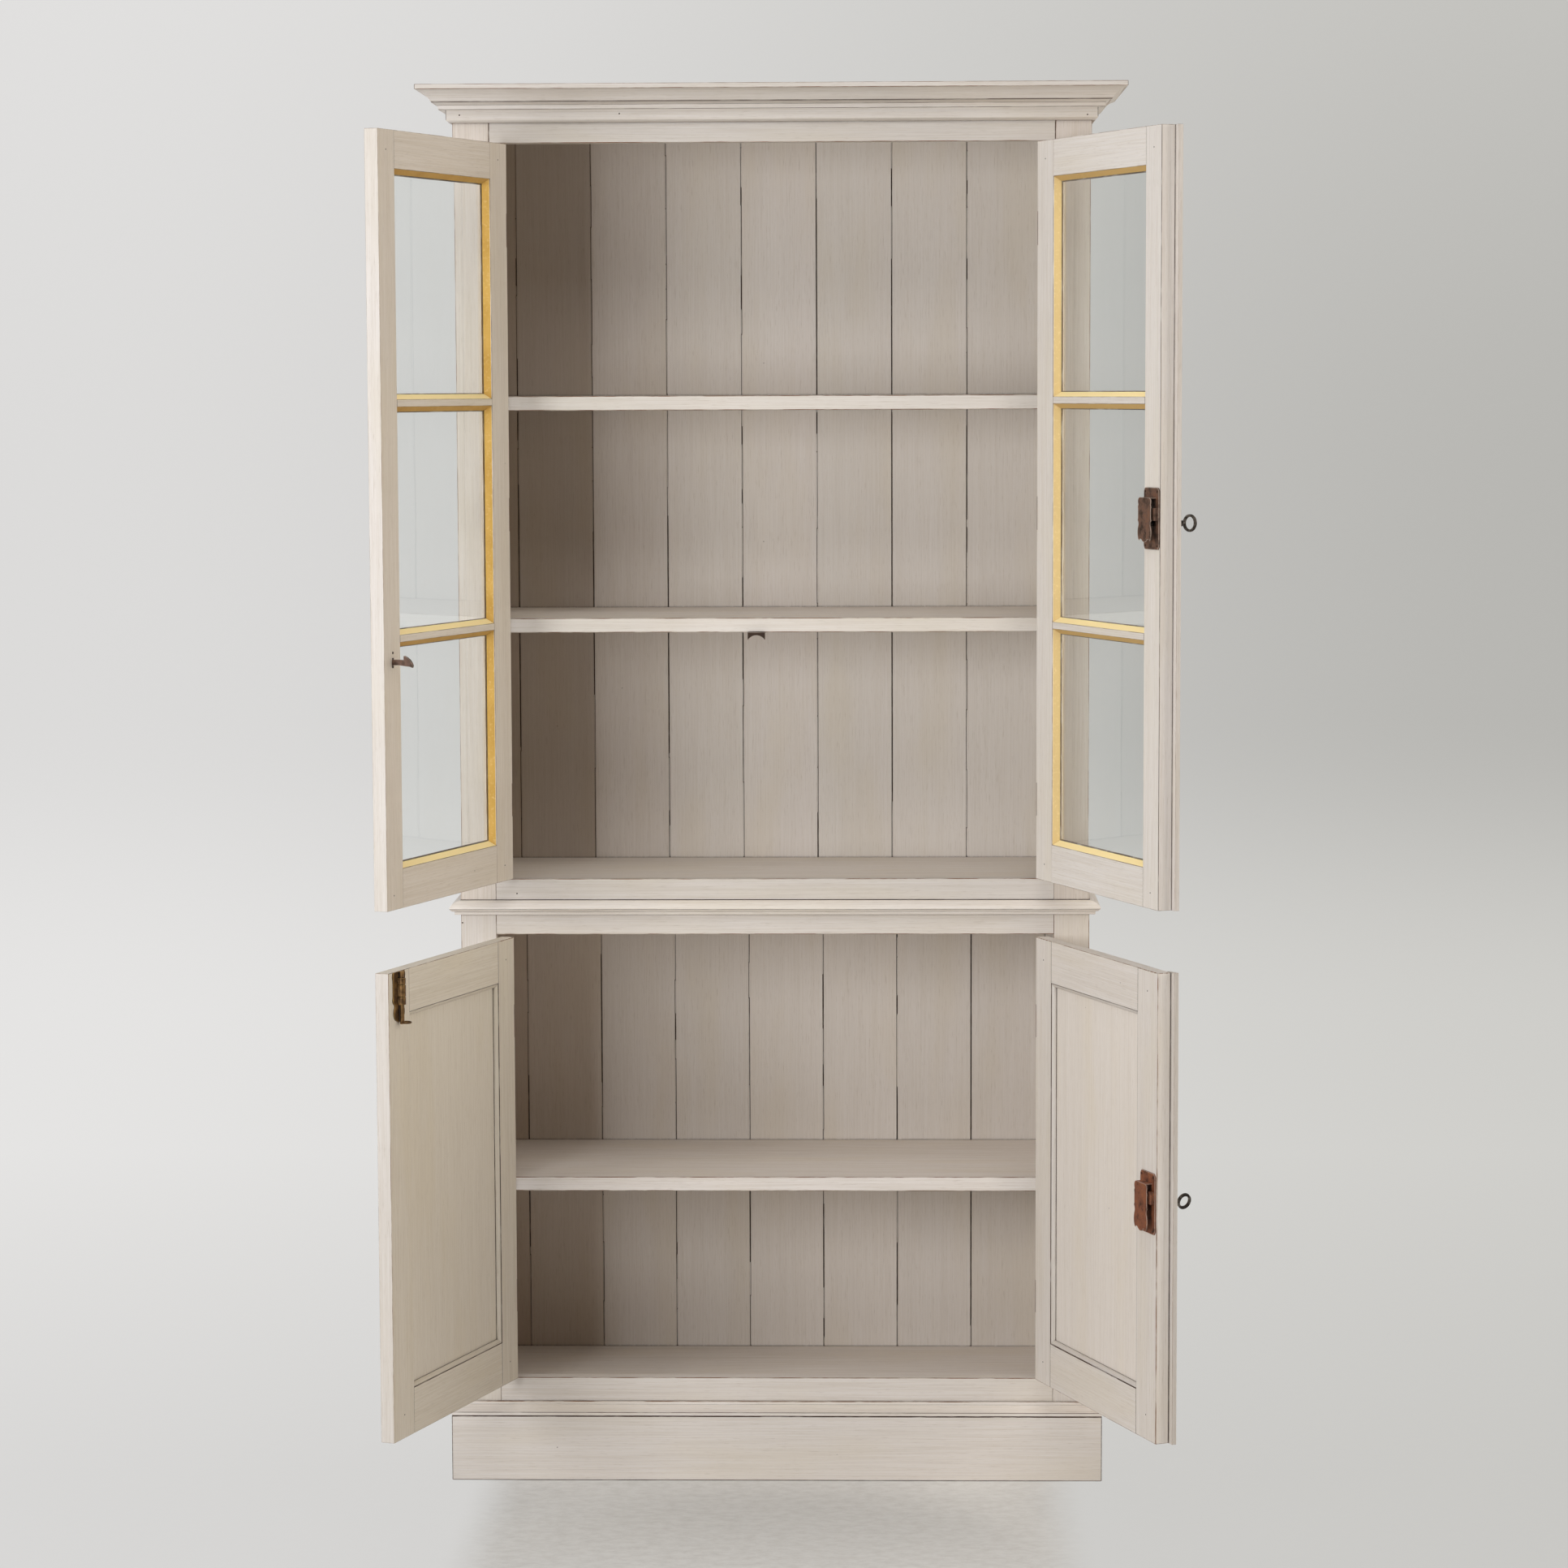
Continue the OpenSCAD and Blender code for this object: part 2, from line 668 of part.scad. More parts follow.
// Sliding rod of the surface bolt, with the ring it is moved by
module bolt_rod() {
    rod_r = 3;
    rod_len = 73;
    ring_r = 5.6;
    ring_t = 3;
    translate([bolt_u, bolt_v, bolt_top - rod_len]) cylinder(r = rod_r, h = rod_len);
    translate([bolt_u, bolt_v + ring_r + 1, bolt_top - rod_len + 2.5])
        rotate_extrude() translate([ring_r, 0]) circle(r = ring_t / 2);
}

// Spring catch hook: a flat lever that stands out of the door and hooks up behind its keeper
module hook_lever() {
    thick = 4;
    translate([hook_u + thick / 2, 0, hook_z]) rotate([90, 0, -90]) mirror([1, 0]) linear_extrude(thick)
        difference() {
            polygon(concat(
                [[hook_pivot_v - 5, -4], [hook_pivot_v - 5, 4], [door_t + 4, 5], [door_t + 17, 4.6]],
                [[door_t + 17, 10]],
                bow([door_t + 17.6, 10.4], [door_t + 31, -3], 2.4, 8),
                [[door_t + 30, -6], [door_t + 27, -4.6], [door_t + 20, -4], [door_t + 8, -2.6]]
            ));
            translate([hook_pivot_v, 0]) circle(r = hook_pivot_r + pin_clear);
        }
}

// Keeper under the front of the middle shelf, a bent plate with an arched lower edge
module keeper() {
    lip_y = shelf_y - 7.8;
    sheet = 1.6;
    translate([-39, lip_y, middle_shelf_z - sheet]) cube([26, 26, sheet]);
    translate([-26, lip_y + sheet, middle_shelf_z]) rotate([90, 0, 0]) linear_extrude(sheet)
        polygon(concat(
            [[-13, 0], [-13, -10.6]],
            bow([-12, -10.6], [12, -10.6], 6.4, 10),
            [[13, -10.6], [13, 0]]
        ));
}

module cornice_front() {
    color("#dcd2c6") front_moulding(cornice_section(), cornice_z, cornice_out, half_w + 60);
}

module cornice_returns() {
    color("#dcd2c6") side_mouldings(cornice_section(), cornice_z, cornice_out, cornice_end_y);
}

module upper_top_board() {
    color("#c9bfb2") cross_board(case_top_z - top_board_drop - floor_t, floor_t, frame_t);
}

module upper_sides() {
    color("#d3c8bb") side_boards(waist_z, case_top_z, [
        [case_top_z - top_board_drop - floor_t, floor_t, frame_t],
        [upper_shelf_z, shelf_t, shelf_y],
        [middle_shelf_z, shelf_t, shelf_y],
        [upper_floor_z - floor_t + floor_rise, floor_t, frame_t]
    ]);
}

module upper_floor_board() {
    color("#c9bfb2") cross_board(upper_floor_z - floor_t + floor_rise, floor_t, frame_t);
}

module upper_stiles() {
    color("#d8cdc0") frame_stiles(waist_z, case_top_z, upper_hinges);
}

module upper_frieze_rail() {
    color("#d8cdc0") frame_rail(frieze_z, frieze_h);
}

module upper_base_rail() {
    color("#d8cdc0") frame_rail(waist_z, upper_sill_h);
}

module upper_back_boards() {
    color("#a3968a") back_boards(waist_z, case_top_z, upper_seam_x);
}

module upper_shelf() {
    color("#d8cdc0") cross_board(upper_shelf_z, shelf_t, shelf_y);
}

module middle_shelf() {
    color("#d8cdc0") cross_board(middle_shelf_z, shelf_t, shelf_y);
}

module catch_keeper() {
    color("#5a4634") keeper();
}

module lower_top_board() {
    color("#c9bfb2") cross_board(waist_z - floor_t, floor_t, frame_t);
}

module waist_front() {
    color("#dcd2c6") front_moulding(waist_section(), waist_z - waist_moulding_h, waist_out, half_w + 20);
}

module waist_returns() {
    color("#dcd2c6") side_mouldings(waist_section(), waist_z - waist_moulding_h, waist_out, back_y);
}

module lower_sides() {
    color("#d3c8bb") side_boards(lower_base_z, waist_z, [
        [waist_z - floor_t, floor_t + 1, frame_t],
        [lower_shelf_z, shelf_t, shelf_y],
        [lower_floor_z - floor_t, floor_t, frame_t]
    ]);
}

module lower_stiles() {
    color("#d8cdc0") frame_stiles(lower_base_z, waist_z, lower_hinges);
}

module lower_head_rail() {
    color("#d8cdc0") frame_rail(lower_head_z, lower_head_h);
}

module lower_base_rail() {
    color("#d8cdc0") frame_rail(lower_base_z, lower_open_z - lower_base_z);
}

module lower_floor_board() {
    color("#c9bfb2") cross_board(lower_floor_z - floor_t, floor_t, frame_t);
}

module lower_back_boards() {
    color("#a3968a") back_boards(lower_base_z, waist_z, lower_seam_x);
}

module lower_shelf() {
    color("#d8cdc0") cross_board(lower_shelf_z, shelf_t, shelf_y);
}

module plinth_front() {
    color("#d8cdc0") linear_extrude(plinth_h) polygon([
        [-half_w - plinth_out, -plinth_out], [half_w + plinth_out, -plinth_out],
        [half_w - plinth_in, plinth_in], [-half_w + plinth_in, plinth_in]
    ]);
}

module plinth_sides() {
    color("#d3c8bb") for (side = [0, 1]) mirror([side, 0, 0])
        linear_extrude(plinth_h) polygon([
            [half_w + plinth_out, -plinth_out], [half_w + plinth_out, back_y],
            [half_w - plinth_in, back_y], [half_w - plinth_in, plinth_in]
        ]);
}

module plinth_back() {
    color("#a3968a") translate([-half_w + plinth_in, back_y - 25, 0])
        cube([case_w - 2 * plinth_in, 25, plinth_h]);
}

module plinth_cap_front() {
    color("#dcd2c6") front_moulding(cap_section(), plinth_h, plinth_out, half_w + 30);
}

module plinth_cap_returns() {
    color("#dcd2c6") side_mouldings(cap_section(), plinth_h, plinth_out, back_y);
}

module frame_hinge_leaves() {
    color("#6b5a48") for (side = [0, 1]) mirror([side, 0, 0])
        for (h = concat(upper_hinges, lower_hinges)) hinge_leaf(h, 0);
}

module hinge_pins() {
    color("#5a4a3c") for (side = [0, 1]) mirror([side, 0, 0])
        for (h = concat(upper_hinges, lower_hinges)) hinge_pin(h);
}

module upper_left_frame() {
    color("#b2a694") left_door() glazed_frame() hook_slot();
}

// Slot in the meeting stile that the hook lever passes through
module hook_slot() {
    translate([hook_u - 2.6, hook_pivot_v - 7, hook_z - 7]) cube([5.2, door_t, 14]);
    pivot_pin();
}

// Pin that the hook lever tilts on
module pivot_pin() {
    translate([hook_u - hook_pivot_len / 2, hook_pivot_v, hook_z]) rotate([0, 90, 0])
        cylinder(r = hook_pivot_r, h = hook_pivot_len);
}

module upper_left_bars() {
    color("#b2a694") left_door() glazing_bars();
}

module upper_left_panes() {
    color("#bcd0cc", 0.4) left_door() glass_panes();
}

module upper_left_putty() {
    color("#d9ac55") left_door() putty_fillets();
}

module upper_left_leaves() {
    color("#6b5a48") swing(left_open) for (h = upper_hinges) hinge_leaf(h, 1);
}

module catch_hook() {
    color("#6a4f3a") left_door() hook_lever();
}

module catch_pivot() {
    color("#4a3c30") left_door() pivot_pin();
}

module upper_right_frame() {
    color("#ded6ca") right_door() glazed_frame() key_way(upper_key_u, upper_key_z);
}

// Hole through a meeting stile for the key
module key_way(u, z) {
    translate([u, -1, z]) rotate([-90, 0, 0]) cylinder(r = 3.2, h = door_t + 2);
}

module upper_right_bars() {
    color("#ded6ca") right_door() glazing_bars();
}

module upper_right_panes() {
    color("#bcd0cc", 0.4) right_door() glass_panes();
}

module upper_right_putty() {
    color("#e0bd74") right_door() putty_fillets();
}

module upper_right_leaves() {
    color("#6b5a48") mirror([1, 0, 0]) swing(right_open) for (h = upper_hinges) hinge_leaf(h, 1);
}

module upper_astragal() {
    color("#d5c7b6") right_door() astragal(upper_door_z, upper_door_h);
}

module upper_lock_case() {
    color("#6e5540") right_door()
        lock_case(358.5, 404.9, upper_key_z - 35, upper_key_z + 48.5,
            381.5, upper_key_z + 35.5, 60.5, upper_key_u, upper_key_z);
}

module upper_lock_bolt() {
    color("#7c6a55") right_door()
        lock_bolt(395, 404.5, upper_key_z + 4.5, upper_key_z + 21.5,
            366, upper_key_z + 10, upper_key_z + 19);
}

module upper_key() {
    color("#3c3632") right_door() translate([upper_key_u, 0, upper_key_z]) key(34);
}

module lower_left_frame() {
    color("#b2a694") left_door() panelled_frame();
}

module lower_left_panel() {
    color("#b2a694") left_door() door_panel();
}

module lower_left_beads() {
    color("#a89c8a") left_door() panel_beads();
}

module lower_left_leaves() {
    color("#6b5a48") swing(left_open) for (h = lower_hinges) hinge_leaf(h, 1);
}

module surface_bolt_plate() {
    color("#6d5638") left_door() bolt_plate();
}

module surface_bolt_rod() {
    color("#8c7346") left_door() bolt_rod();
}

module lower_right_frame() {
    color("#ded6ca") right_door() panelled_frame() key_way(lower_key_u, lower_key_z);
}

module lower_right_panel() {
    color("#ded6ca") right_door() door_panel();
}

module lower_right_beads() {
    color("#c4b8a8") right_door() panel_beads();
}

module lower_right_leaves() {
    color("#6b5a48") mirror([1, 0, 0]) swing(right_open) for (h = lower_hinges) hinge_leaf(h, 1);
}

module lower_astragal() {
    color("#d5c7b6") right_door() astragal(lower_door_z, lower_door_h);
}

module lower_lock_case() {
    color("#6e5540") right_door()
        lock_case(357, 403, lower_key_z - 39, lower_key_z + 46,
            379.5, lower_key_z + 32, 67.5, lower_key_u, lower_key_z);
}

module lower_lock_bolt() {
    color("#7c6a55") right_door()
        lock_bolt(393.5, 402.5, lower_key_z + 4.5, lower_key_z + 21.5,
            360, lower_key_z + 10, lower_key_z + 19);
}

module lower_key() {
    color("#3c3632") right_door() translate([lower_key_u, 0, lower_key_z])
        rotate([0, lower_key_tilt, 0]) key(36);
}

cornice_front();
cornice_returns();
upper_top_board();
upper_sides();
upper_floor_board();
upper_stiles();
upper_frieze_rail();
upper_base_rail();
upper_back_boards();
upper_shelf();
middle_shelf();
catch_keeper();
lower_top_board();
waist_front();
waist_returns();
lower_sides();
lower_stiles();
lower_head_rail();
lower_base_rail();
lower_floor_board();
lower_back_boards();
lower_shelf();
plinth_front();
plinth_sides();
plinth_back();
plinth_cap_front();
plinth_cap_returns();
frame_hinge_leaves();
hinge_pins();
upper_left_frame();
upper_left_bars();
upper_left_panes();
upper_left_putty();
upper_left_leaves();
catch_hook();
catch_pivot();
upper_right_frame();
upper_right_bars();
upper_right_panes();
upper_right_putty();
upper_right_leaves();
upper_astragal();
upper_lock_case();
upper_lock_bolt();
upper_key();
lower_left_frame();
lower_left_panel();
lower_left_beads();
lower_left_leaves();
surface_bolt_plate();
surface_bolt_rod();
lower_right_frame();
lower_right_panel();
lower_right_beads();
lower_right_leaves();
lower_astragal();
lower_lock_case();
lower_lock_bolt();
lower_key();
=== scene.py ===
import json
import math
import random

import bmesh
import bpy
from mathutils import Matrix, Vector
from mathutils.bvhtree import BVHTree


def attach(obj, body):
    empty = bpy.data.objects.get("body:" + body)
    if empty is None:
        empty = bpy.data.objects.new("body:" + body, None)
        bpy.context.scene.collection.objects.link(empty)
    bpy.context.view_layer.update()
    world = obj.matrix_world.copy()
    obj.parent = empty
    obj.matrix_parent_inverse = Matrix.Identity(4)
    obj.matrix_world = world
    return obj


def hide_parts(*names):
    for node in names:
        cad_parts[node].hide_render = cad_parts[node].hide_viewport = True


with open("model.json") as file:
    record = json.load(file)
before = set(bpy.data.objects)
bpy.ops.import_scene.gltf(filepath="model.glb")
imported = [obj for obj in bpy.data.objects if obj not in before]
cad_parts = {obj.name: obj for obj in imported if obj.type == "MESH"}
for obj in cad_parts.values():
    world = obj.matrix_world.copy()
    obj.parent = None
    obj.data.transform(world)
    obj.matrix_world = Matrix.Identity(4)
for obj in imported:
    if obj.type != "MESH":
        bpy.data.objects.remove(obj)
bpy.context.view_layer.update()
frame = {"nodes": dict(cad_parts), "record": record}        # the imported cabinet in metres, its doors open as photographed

scene = bpy.context.scene
mm = 0.001
cadNodes = frame["nodes"]
bodyOfNode = {node: body for body, members in frame["record"]["behaviour"]["bodies"].items()
              for node in members}
doorTurn = {"left": math.radians(-110), "right": math.radians(112)}   # each open door's turn from shut


# Camera at the photograph's place, looking slightly down
cameraView = {
    "place": (0.154168, -5.971785, 1.603767),
    "pitch": 0.0956549577,
    "yaw": -0.0234024618,
    "roll": -0.00369441538,
    "lens": 94.611,          # on a 36 mm wide square frame
}


def placeCamera(view):
    pitch, yaw, roll = view["pitch"], view["yaw"], view["roll"]
    ahead = Vector((math.sin(yaw) * math.cos(pitch), math.cos(yaw) * math.cos(pitch), -math.sin(pitch)))
    right = Vector((math.cos(yaw), -math.sin(yaw), 0))
    up = right.cross(ahead)
    across = right * math.cos(roll) + up * math.sin(roll)
    upright = up * math.cos(roll) - right * math.sin(roll)
    data = bpy.data.cameras.new("cameraView")
    data.sensor_width = 36
    data.lens = view["lens"]
    data.clip_end = 60
    camera = bpy.data.objects.new("cameraView", data)
    turned = Matrix((across, upright, -ahead)).transposed().to_4x4()
    camera.matrix_world = Matrix.Translation(view["place"]) @ turned
    scene.collection.objects.link(camera)
    scene.camera = camera


placeCamera(cameraView)
scene.view_settings.view_transform = "Standard"
print("camera placed")


# Materials
def linear(colour):
    # an sRGB hex colour as the linear values that a shader takes
    parts = [int(colour[i:i + 2], 16) / 255 for i in (1, 3, 5)]
    return [p / 12.92 if p <= 0.04045 else ((p + 0.055) / 1.055) ** 2.4 for p in parts] + [1.0]


def addNode(tree, kind, inputs=None, **settings):
    # one node with its settings; an input is a value, a socket, or a node whose first output it takes.
    # A Mix node's share is input 0, its two values are 2 and 3, its two colours 6 and 7.
    node = tree.nodes.new("ShaderNode" + kind)
    for name, value in settings.items():
        setattr(node, name, value)
    for name, value in (inputs or {}).items():
        if isinstance(value, bpy.types.Node):
            value = value.outputs[0]
        if isinstance(value, bpy.types.NodeSocket):
            tree.links.new(value, node.inputs[name])
        else:
            node.inputs[name].default_value = value
    return node


def newMaterial(name):
    material = bpy.data.materials.new(name)
    material.use_nodes = True
    material.node_tree.nodes.clear()
    return material, material.node_tree


def perMm(*sizes):
    # the mapping scale at which a pattern repeats every so many millimetres
    return [1 / (size * mm) for size in sizes]


paintLook = {
    "paint": "#dfd7d0",        # warm off-white
    "brushed": "#cec3b7",      # where the brush dragged it thin over the grain
    "aged": "#d9cebe",         # yellower, handled patches
    "pore": "#a99883",         # wax in the open grain
    "wax": "#4b3527",          # brown wax left in joints, and the colour of the painted shade in tight corners
    "bare": "#7f5b3e",         # pine showing at rubbed arrises
    "roughness": (0.47, 0.65),
    "hairs": (120, 1.9, 1.9),  # mm; brush hairs are under 1 mm apart, drawn wider so that they show
    "bands": (420, 12, 12),    # mm; the drag of the whole brush
    "patches": (260, 70, 70),  # mm
    "pores": (22, 1.1, 1.1),   # mm; drawn twice as wide as pine's, so that they show
    "rings": (380, 6, 30),     # mm; growth rings of plain-sawn pine
    "chips": (85, 85, 85),     # mm; the spacing of the specks
    "rubs": (45, 6, 6),        # mm; lengths of arris rubbed more or less
    "waxReach": 5 * mm,        # how far from a corner the wax and the painted shade reach
    "relief": 0.25 * mm,       # height of the brush marks and the grain
}


def paintedPine(look):
    # Pine boards brushed with a thin warm off-white paint and rubbed back. The eye sees fine streaks
    # along the grain, brown lines on the arrises and in the joints, and a soft low sheen. Painted shade
    # darkens tight corners and the foot, and each board's tone also carries painted light and shade.
    material, tree = newMaterial("paintedPine")
    board = addNode(tree, "Attribute", attribute_name="grain").outputs["Vector"]
    tone = addNode(tree, "Attribute", attribute_name="tone").outputs["Vector"]
    drag = addNode(tree, "Attribute", attribute_name="drag").outputs["Fac"]
    wear = addNode(tree, "Attribute", attribute_name="wear").outputs["Fac"]
    joint = addNode(tree, "Attribute", attribute_name="joint").outputs["Fac"]
    place = addNode(tree, "TexCoord").outputs["Object"]

    soft = {"Scale": 1.0, "Detail": 2.0, "Roughness": 0.5}
    alongHairs = addNode(tree, "Mapping", {"Vector": board, "Scale": perMm(*look["hairs"])})
    hairs = addNode(tree, "TexNoise", {"Vector": alongHairs, **soft})
    alongBands = addNode(tree, "Mapping", {"Vector": board, "Scale": perMm(*look["bands"])})
    bands = addNode(tree, "TexNoise", {"Vector": alongBands, **soft})
    inPatches = addNode(tree, "Mapping", {"Vector": board, "Scale": perMm(*look["patches"])})
    patches = addNode(tree, "TexNoise", {"Vector": inPatches, **soft})
    alongRings = addNode(tree, "Mapping", {"Vector": board, "Scale": perMm(*look["rings"])})
    rings = addNode(tree, "TexWave", {"Vector": alongRings, "Scale": 0.314, "Distortion": 5.0, "Detail": 2.0,
                                      "Detail Scale": 0.6}, bands_direction="Y").outputs["Fac"]

    # Streaks of the brush, plainer on the frames than on the back boards
    streak = addNode(tree, "Mix", {0: 0.3, 2: hairs, 3: bands})
    streakShare = addNode(tree, "MapRange", {"Value": streak, "From Min": 0.36, "From Max": 0.68,
                                             "To Min": 0.0, "To Max": 0.64}, interpolation_type="SMOOTHSTEP")
    streakShare = addNode(tree, "Math", {0: streakShare, 1: drag}, operation="MULTIPLY")
    colour = addNode(tree, "Mix", {0: streakShare, 6: linear(look["paint"]), 7: linear(look["brushed"])},
                     data_type="RGBA").outputs[2]
    patchShare = addNode(tree, "MapRange", {"Value": patches, "From Min": 0.45, "From Max": 0.75,
                                            "To Min": 0.0, "To Max": 0.5}, interpolation_type="SMOOTHSTEP")
    colour = addNode(tree, "Mix", {0: patchShare, 6: colour, 7: linear(look["aged"])},
                     data_type="RGBA").outputs[2]
    ringShare = addNode(tree, "Math", {0: rings, 1: 0.2}, operation="MULTIPLY")
    ringShare = addNode(tree, "Math", {0: ringShare, 1: drag}, operation="MULTIPLY")
    colour = addNode(tree, "Mix", {0: ringShare, 6: colour, 7: linear(look["aged"])},
                     data_type="RGBA").outputs[2]
    alongPores = addNode(tree, "Mapping", {"Vector": board, "Scale": perMm(*look["pores"])})
    pores = addNode(tree, "TexNoise", {"Vector": alongPores, "Scale": 1.0, "Detail": 2.0, "Roughness": 0.6})
    poreShare = addNode(tree, "MapRange", {"Value": pores, "From Min": 0.56, "From Max": 0.74,
                                           "To Min": 0.0, "To Max": 0.3}, interpolation_type="SMOOTHSTEP")
    colour = addNode(tree, "Mix", {0: poreShare, 6: colour, 7: linear(look["pore"])},
                     data_type="RGBA").outputs[2]

    # Boards differ a little in tone and warmth, and the same tone carries painted light and shade: darker,
    # warmer boards and inner faces where shade falls, lighter door edges where light falls
    colour = addNode(tree, "Mix", {0: 1.0, 6: colour, 7: tone}, data_type="RGBA",
                     blend_type="MULTIPLY").outputs[2]

    # Small dark specks where the paint has chipped on a pore
    inCells = addNode(tree, "Mapping", {"Vector": place, "Scale": perMm(*look["chips"])})
    specks = addNode(tree, "TexVoronoi", {"Vector": inCells, "Scale": 1.0, "Randomness": 1.0})
    speckShare = addNode(tree, "MapRange", {"Value": specks.outputs["Distance"], "From Min": 0.008,
                                            "From Max": 0.014, "To Min": 0.7, "To Max": 0.0})
    colour = addNode(tree, "Mix", {0: speckShare, 6: colour, 7: linear(look["wax"])},
                     data_type="RGBA").outputs[2]

    # Paint rubbed through on the arrises: a thin line nearly everywhere, bare wood in short lengths
    alongArris = addNode(tree, "Mapping", {"Vector": board, "Scale": perMm(*look["rubs"])})
    rub = addNode(tree, "TexNoise", {"Vector": alongArris, "Scale": 1.0, "Detail": 3.0, "Roughness": 0.65})
    rubShare = addNode(tree, "MapRange", {"Value": rub, "From Min": 0.4, "From Max": 0.6,
                                          "To Min": 0.35, "To Max": 1.0}, interpolation_type="SMOOTHSTEP")
    rubShare = addNode(tree, "Math", {0: rubShare, 1: wear}, operation="MULTIPLY")
    colour = addNode(tree, "Mix", {0: rubShare, 6: colour, 7: linear(look["bare"])},
                     data_type="RGBA").outputs[2]

    # Brown wax that stays in joints, with painted shade: tight corners found by ambient occlusion are
    # darkened with the same brown
    waxAndShadeShare = addNode(tree, "MapRange", {"Value": rub, "From Min": 0.34, "From Max": 0.5,
                                          "To Min": 0.5, "To Max": 1.0}, interpolation_type="SMOOTHSTEP")
    jointAndFootShadeShare = addNode(tree, "Math", {0: waxAndShadeShare, 1: joint}, operation="MULTIPLY")
    colour = addNode(tree, "Mix", {0: jointAndFootShadeShare, 6: colour, 7: linear(look["wax"])},
                     data_type="RGBA").outputs[2]
    corner = addNode(tree, "AmbientOcclusion", {"Distance": look["waxReach"]}, samples=6).outputs["AO"]
    cornerWaxAndShade = addNode(tree, "MapRange", {"Value": corner, "From Min": 0.3, "From Max": 0.76,
                                      "To Min": 0.95, "To Max": 0.0}, interpolation_type="SMOOTHSTEP")
    cornerWaxAndShade = addNode(tree, "Math", {0: cornerWaxAndShade, 1: waxAndShadeShare}, operation="MULTIPLY")
    colour = addNode(tree, "Mix", {0: cornerWaxAndShade, 6: colour, 7: linear(look["wax"])}, data_type="RGBA").outputs[2]

    height = addNode(tree, "Mix", {0: 0.3, 2: hairs, 3: rings})
    relief = addNode(tree, "Bump", {"Height": height, "Strength": 0.35, "Distance": look["relief"]})
    sheen = addNode(tree, "MapRange", {"Value": hairs, "From Min": 0.3, "From Max": 0.7,
                                       "To Min": look["roughness"][0], "To Max": look["roughness"][1]})
    shader = addNode(tree, "BsdfPrincipled", {"Base Color": colour, "Roughness": sheen, "Normal": relief})
    addNode(tree, "OutputMaterial", {"Surface": shader})
    return material


glassLook = {
    "body": "#fbffff",         # almost clear, a trace of green
    "cast": "#f7faf7",         # what its shadow keeps of the light
    "waves": (90, 90, 260),    # mm; draw lines, upright
    "ior": 1.5,
}


def drawnGlass(look):
    # Old drawn sheet glass: clear, faintly green, with a slight wave in its reflections
    material, tree = newMaterial("drawnGlass")
    place = addNode(tree, "TexCoord").outputs["Object"]
    drawn = addNode(tree, "Mapping", {"Vector": place, "Scale": perMm(*look["waves"])})
    waves = addNode(tree, "TexNoise", {"Vector": drawn, "Scale": 1.0, "Detail": 1.0, "Roughness": 0.4})
    relief = addNode(tree, "Bump", {"Height": waves, "Strength": 0.12, "Distance": 0.5 * mm})
    glass = addNode(tree, "BsdfPrincipled", {
        "Base Color": linear(look["body"]), "Roughness": 0.0, "IOR": look["ior"],
        "Transmission Weight": 1.0, "Normal": relief,
    })
    clear = addNode(tree, "BsdfTransparent", {"Color": linear(look["cast"])})
    path = addNode(tree, "LightPath")
    shader = addNode(tree, "MixShader", {0: path.outputs["Is Shadow Ray"], 1: glass, 2: clear})
    addNode(tree, "OutputMaterial", {"Surface": shader})
    return material


puttyLook = {
    "ochre": "#dcae58",        # left door
    "smear": "#c99a45",
    "cream": "#dec48c",        # right door, paler
    "dust": "#ffe6a8",         # the colour of the crumbs, and painted light on faces that look up
    "under": "#b58a44",        # painted shade on faces that look down
    "dirt": "#6d5030",         # painted shade in the corner along the glass
    "smears": (40, 40, 60),    # mm; strokes of the knife
    "crumbs": (4, 4, 4),       # mm
}


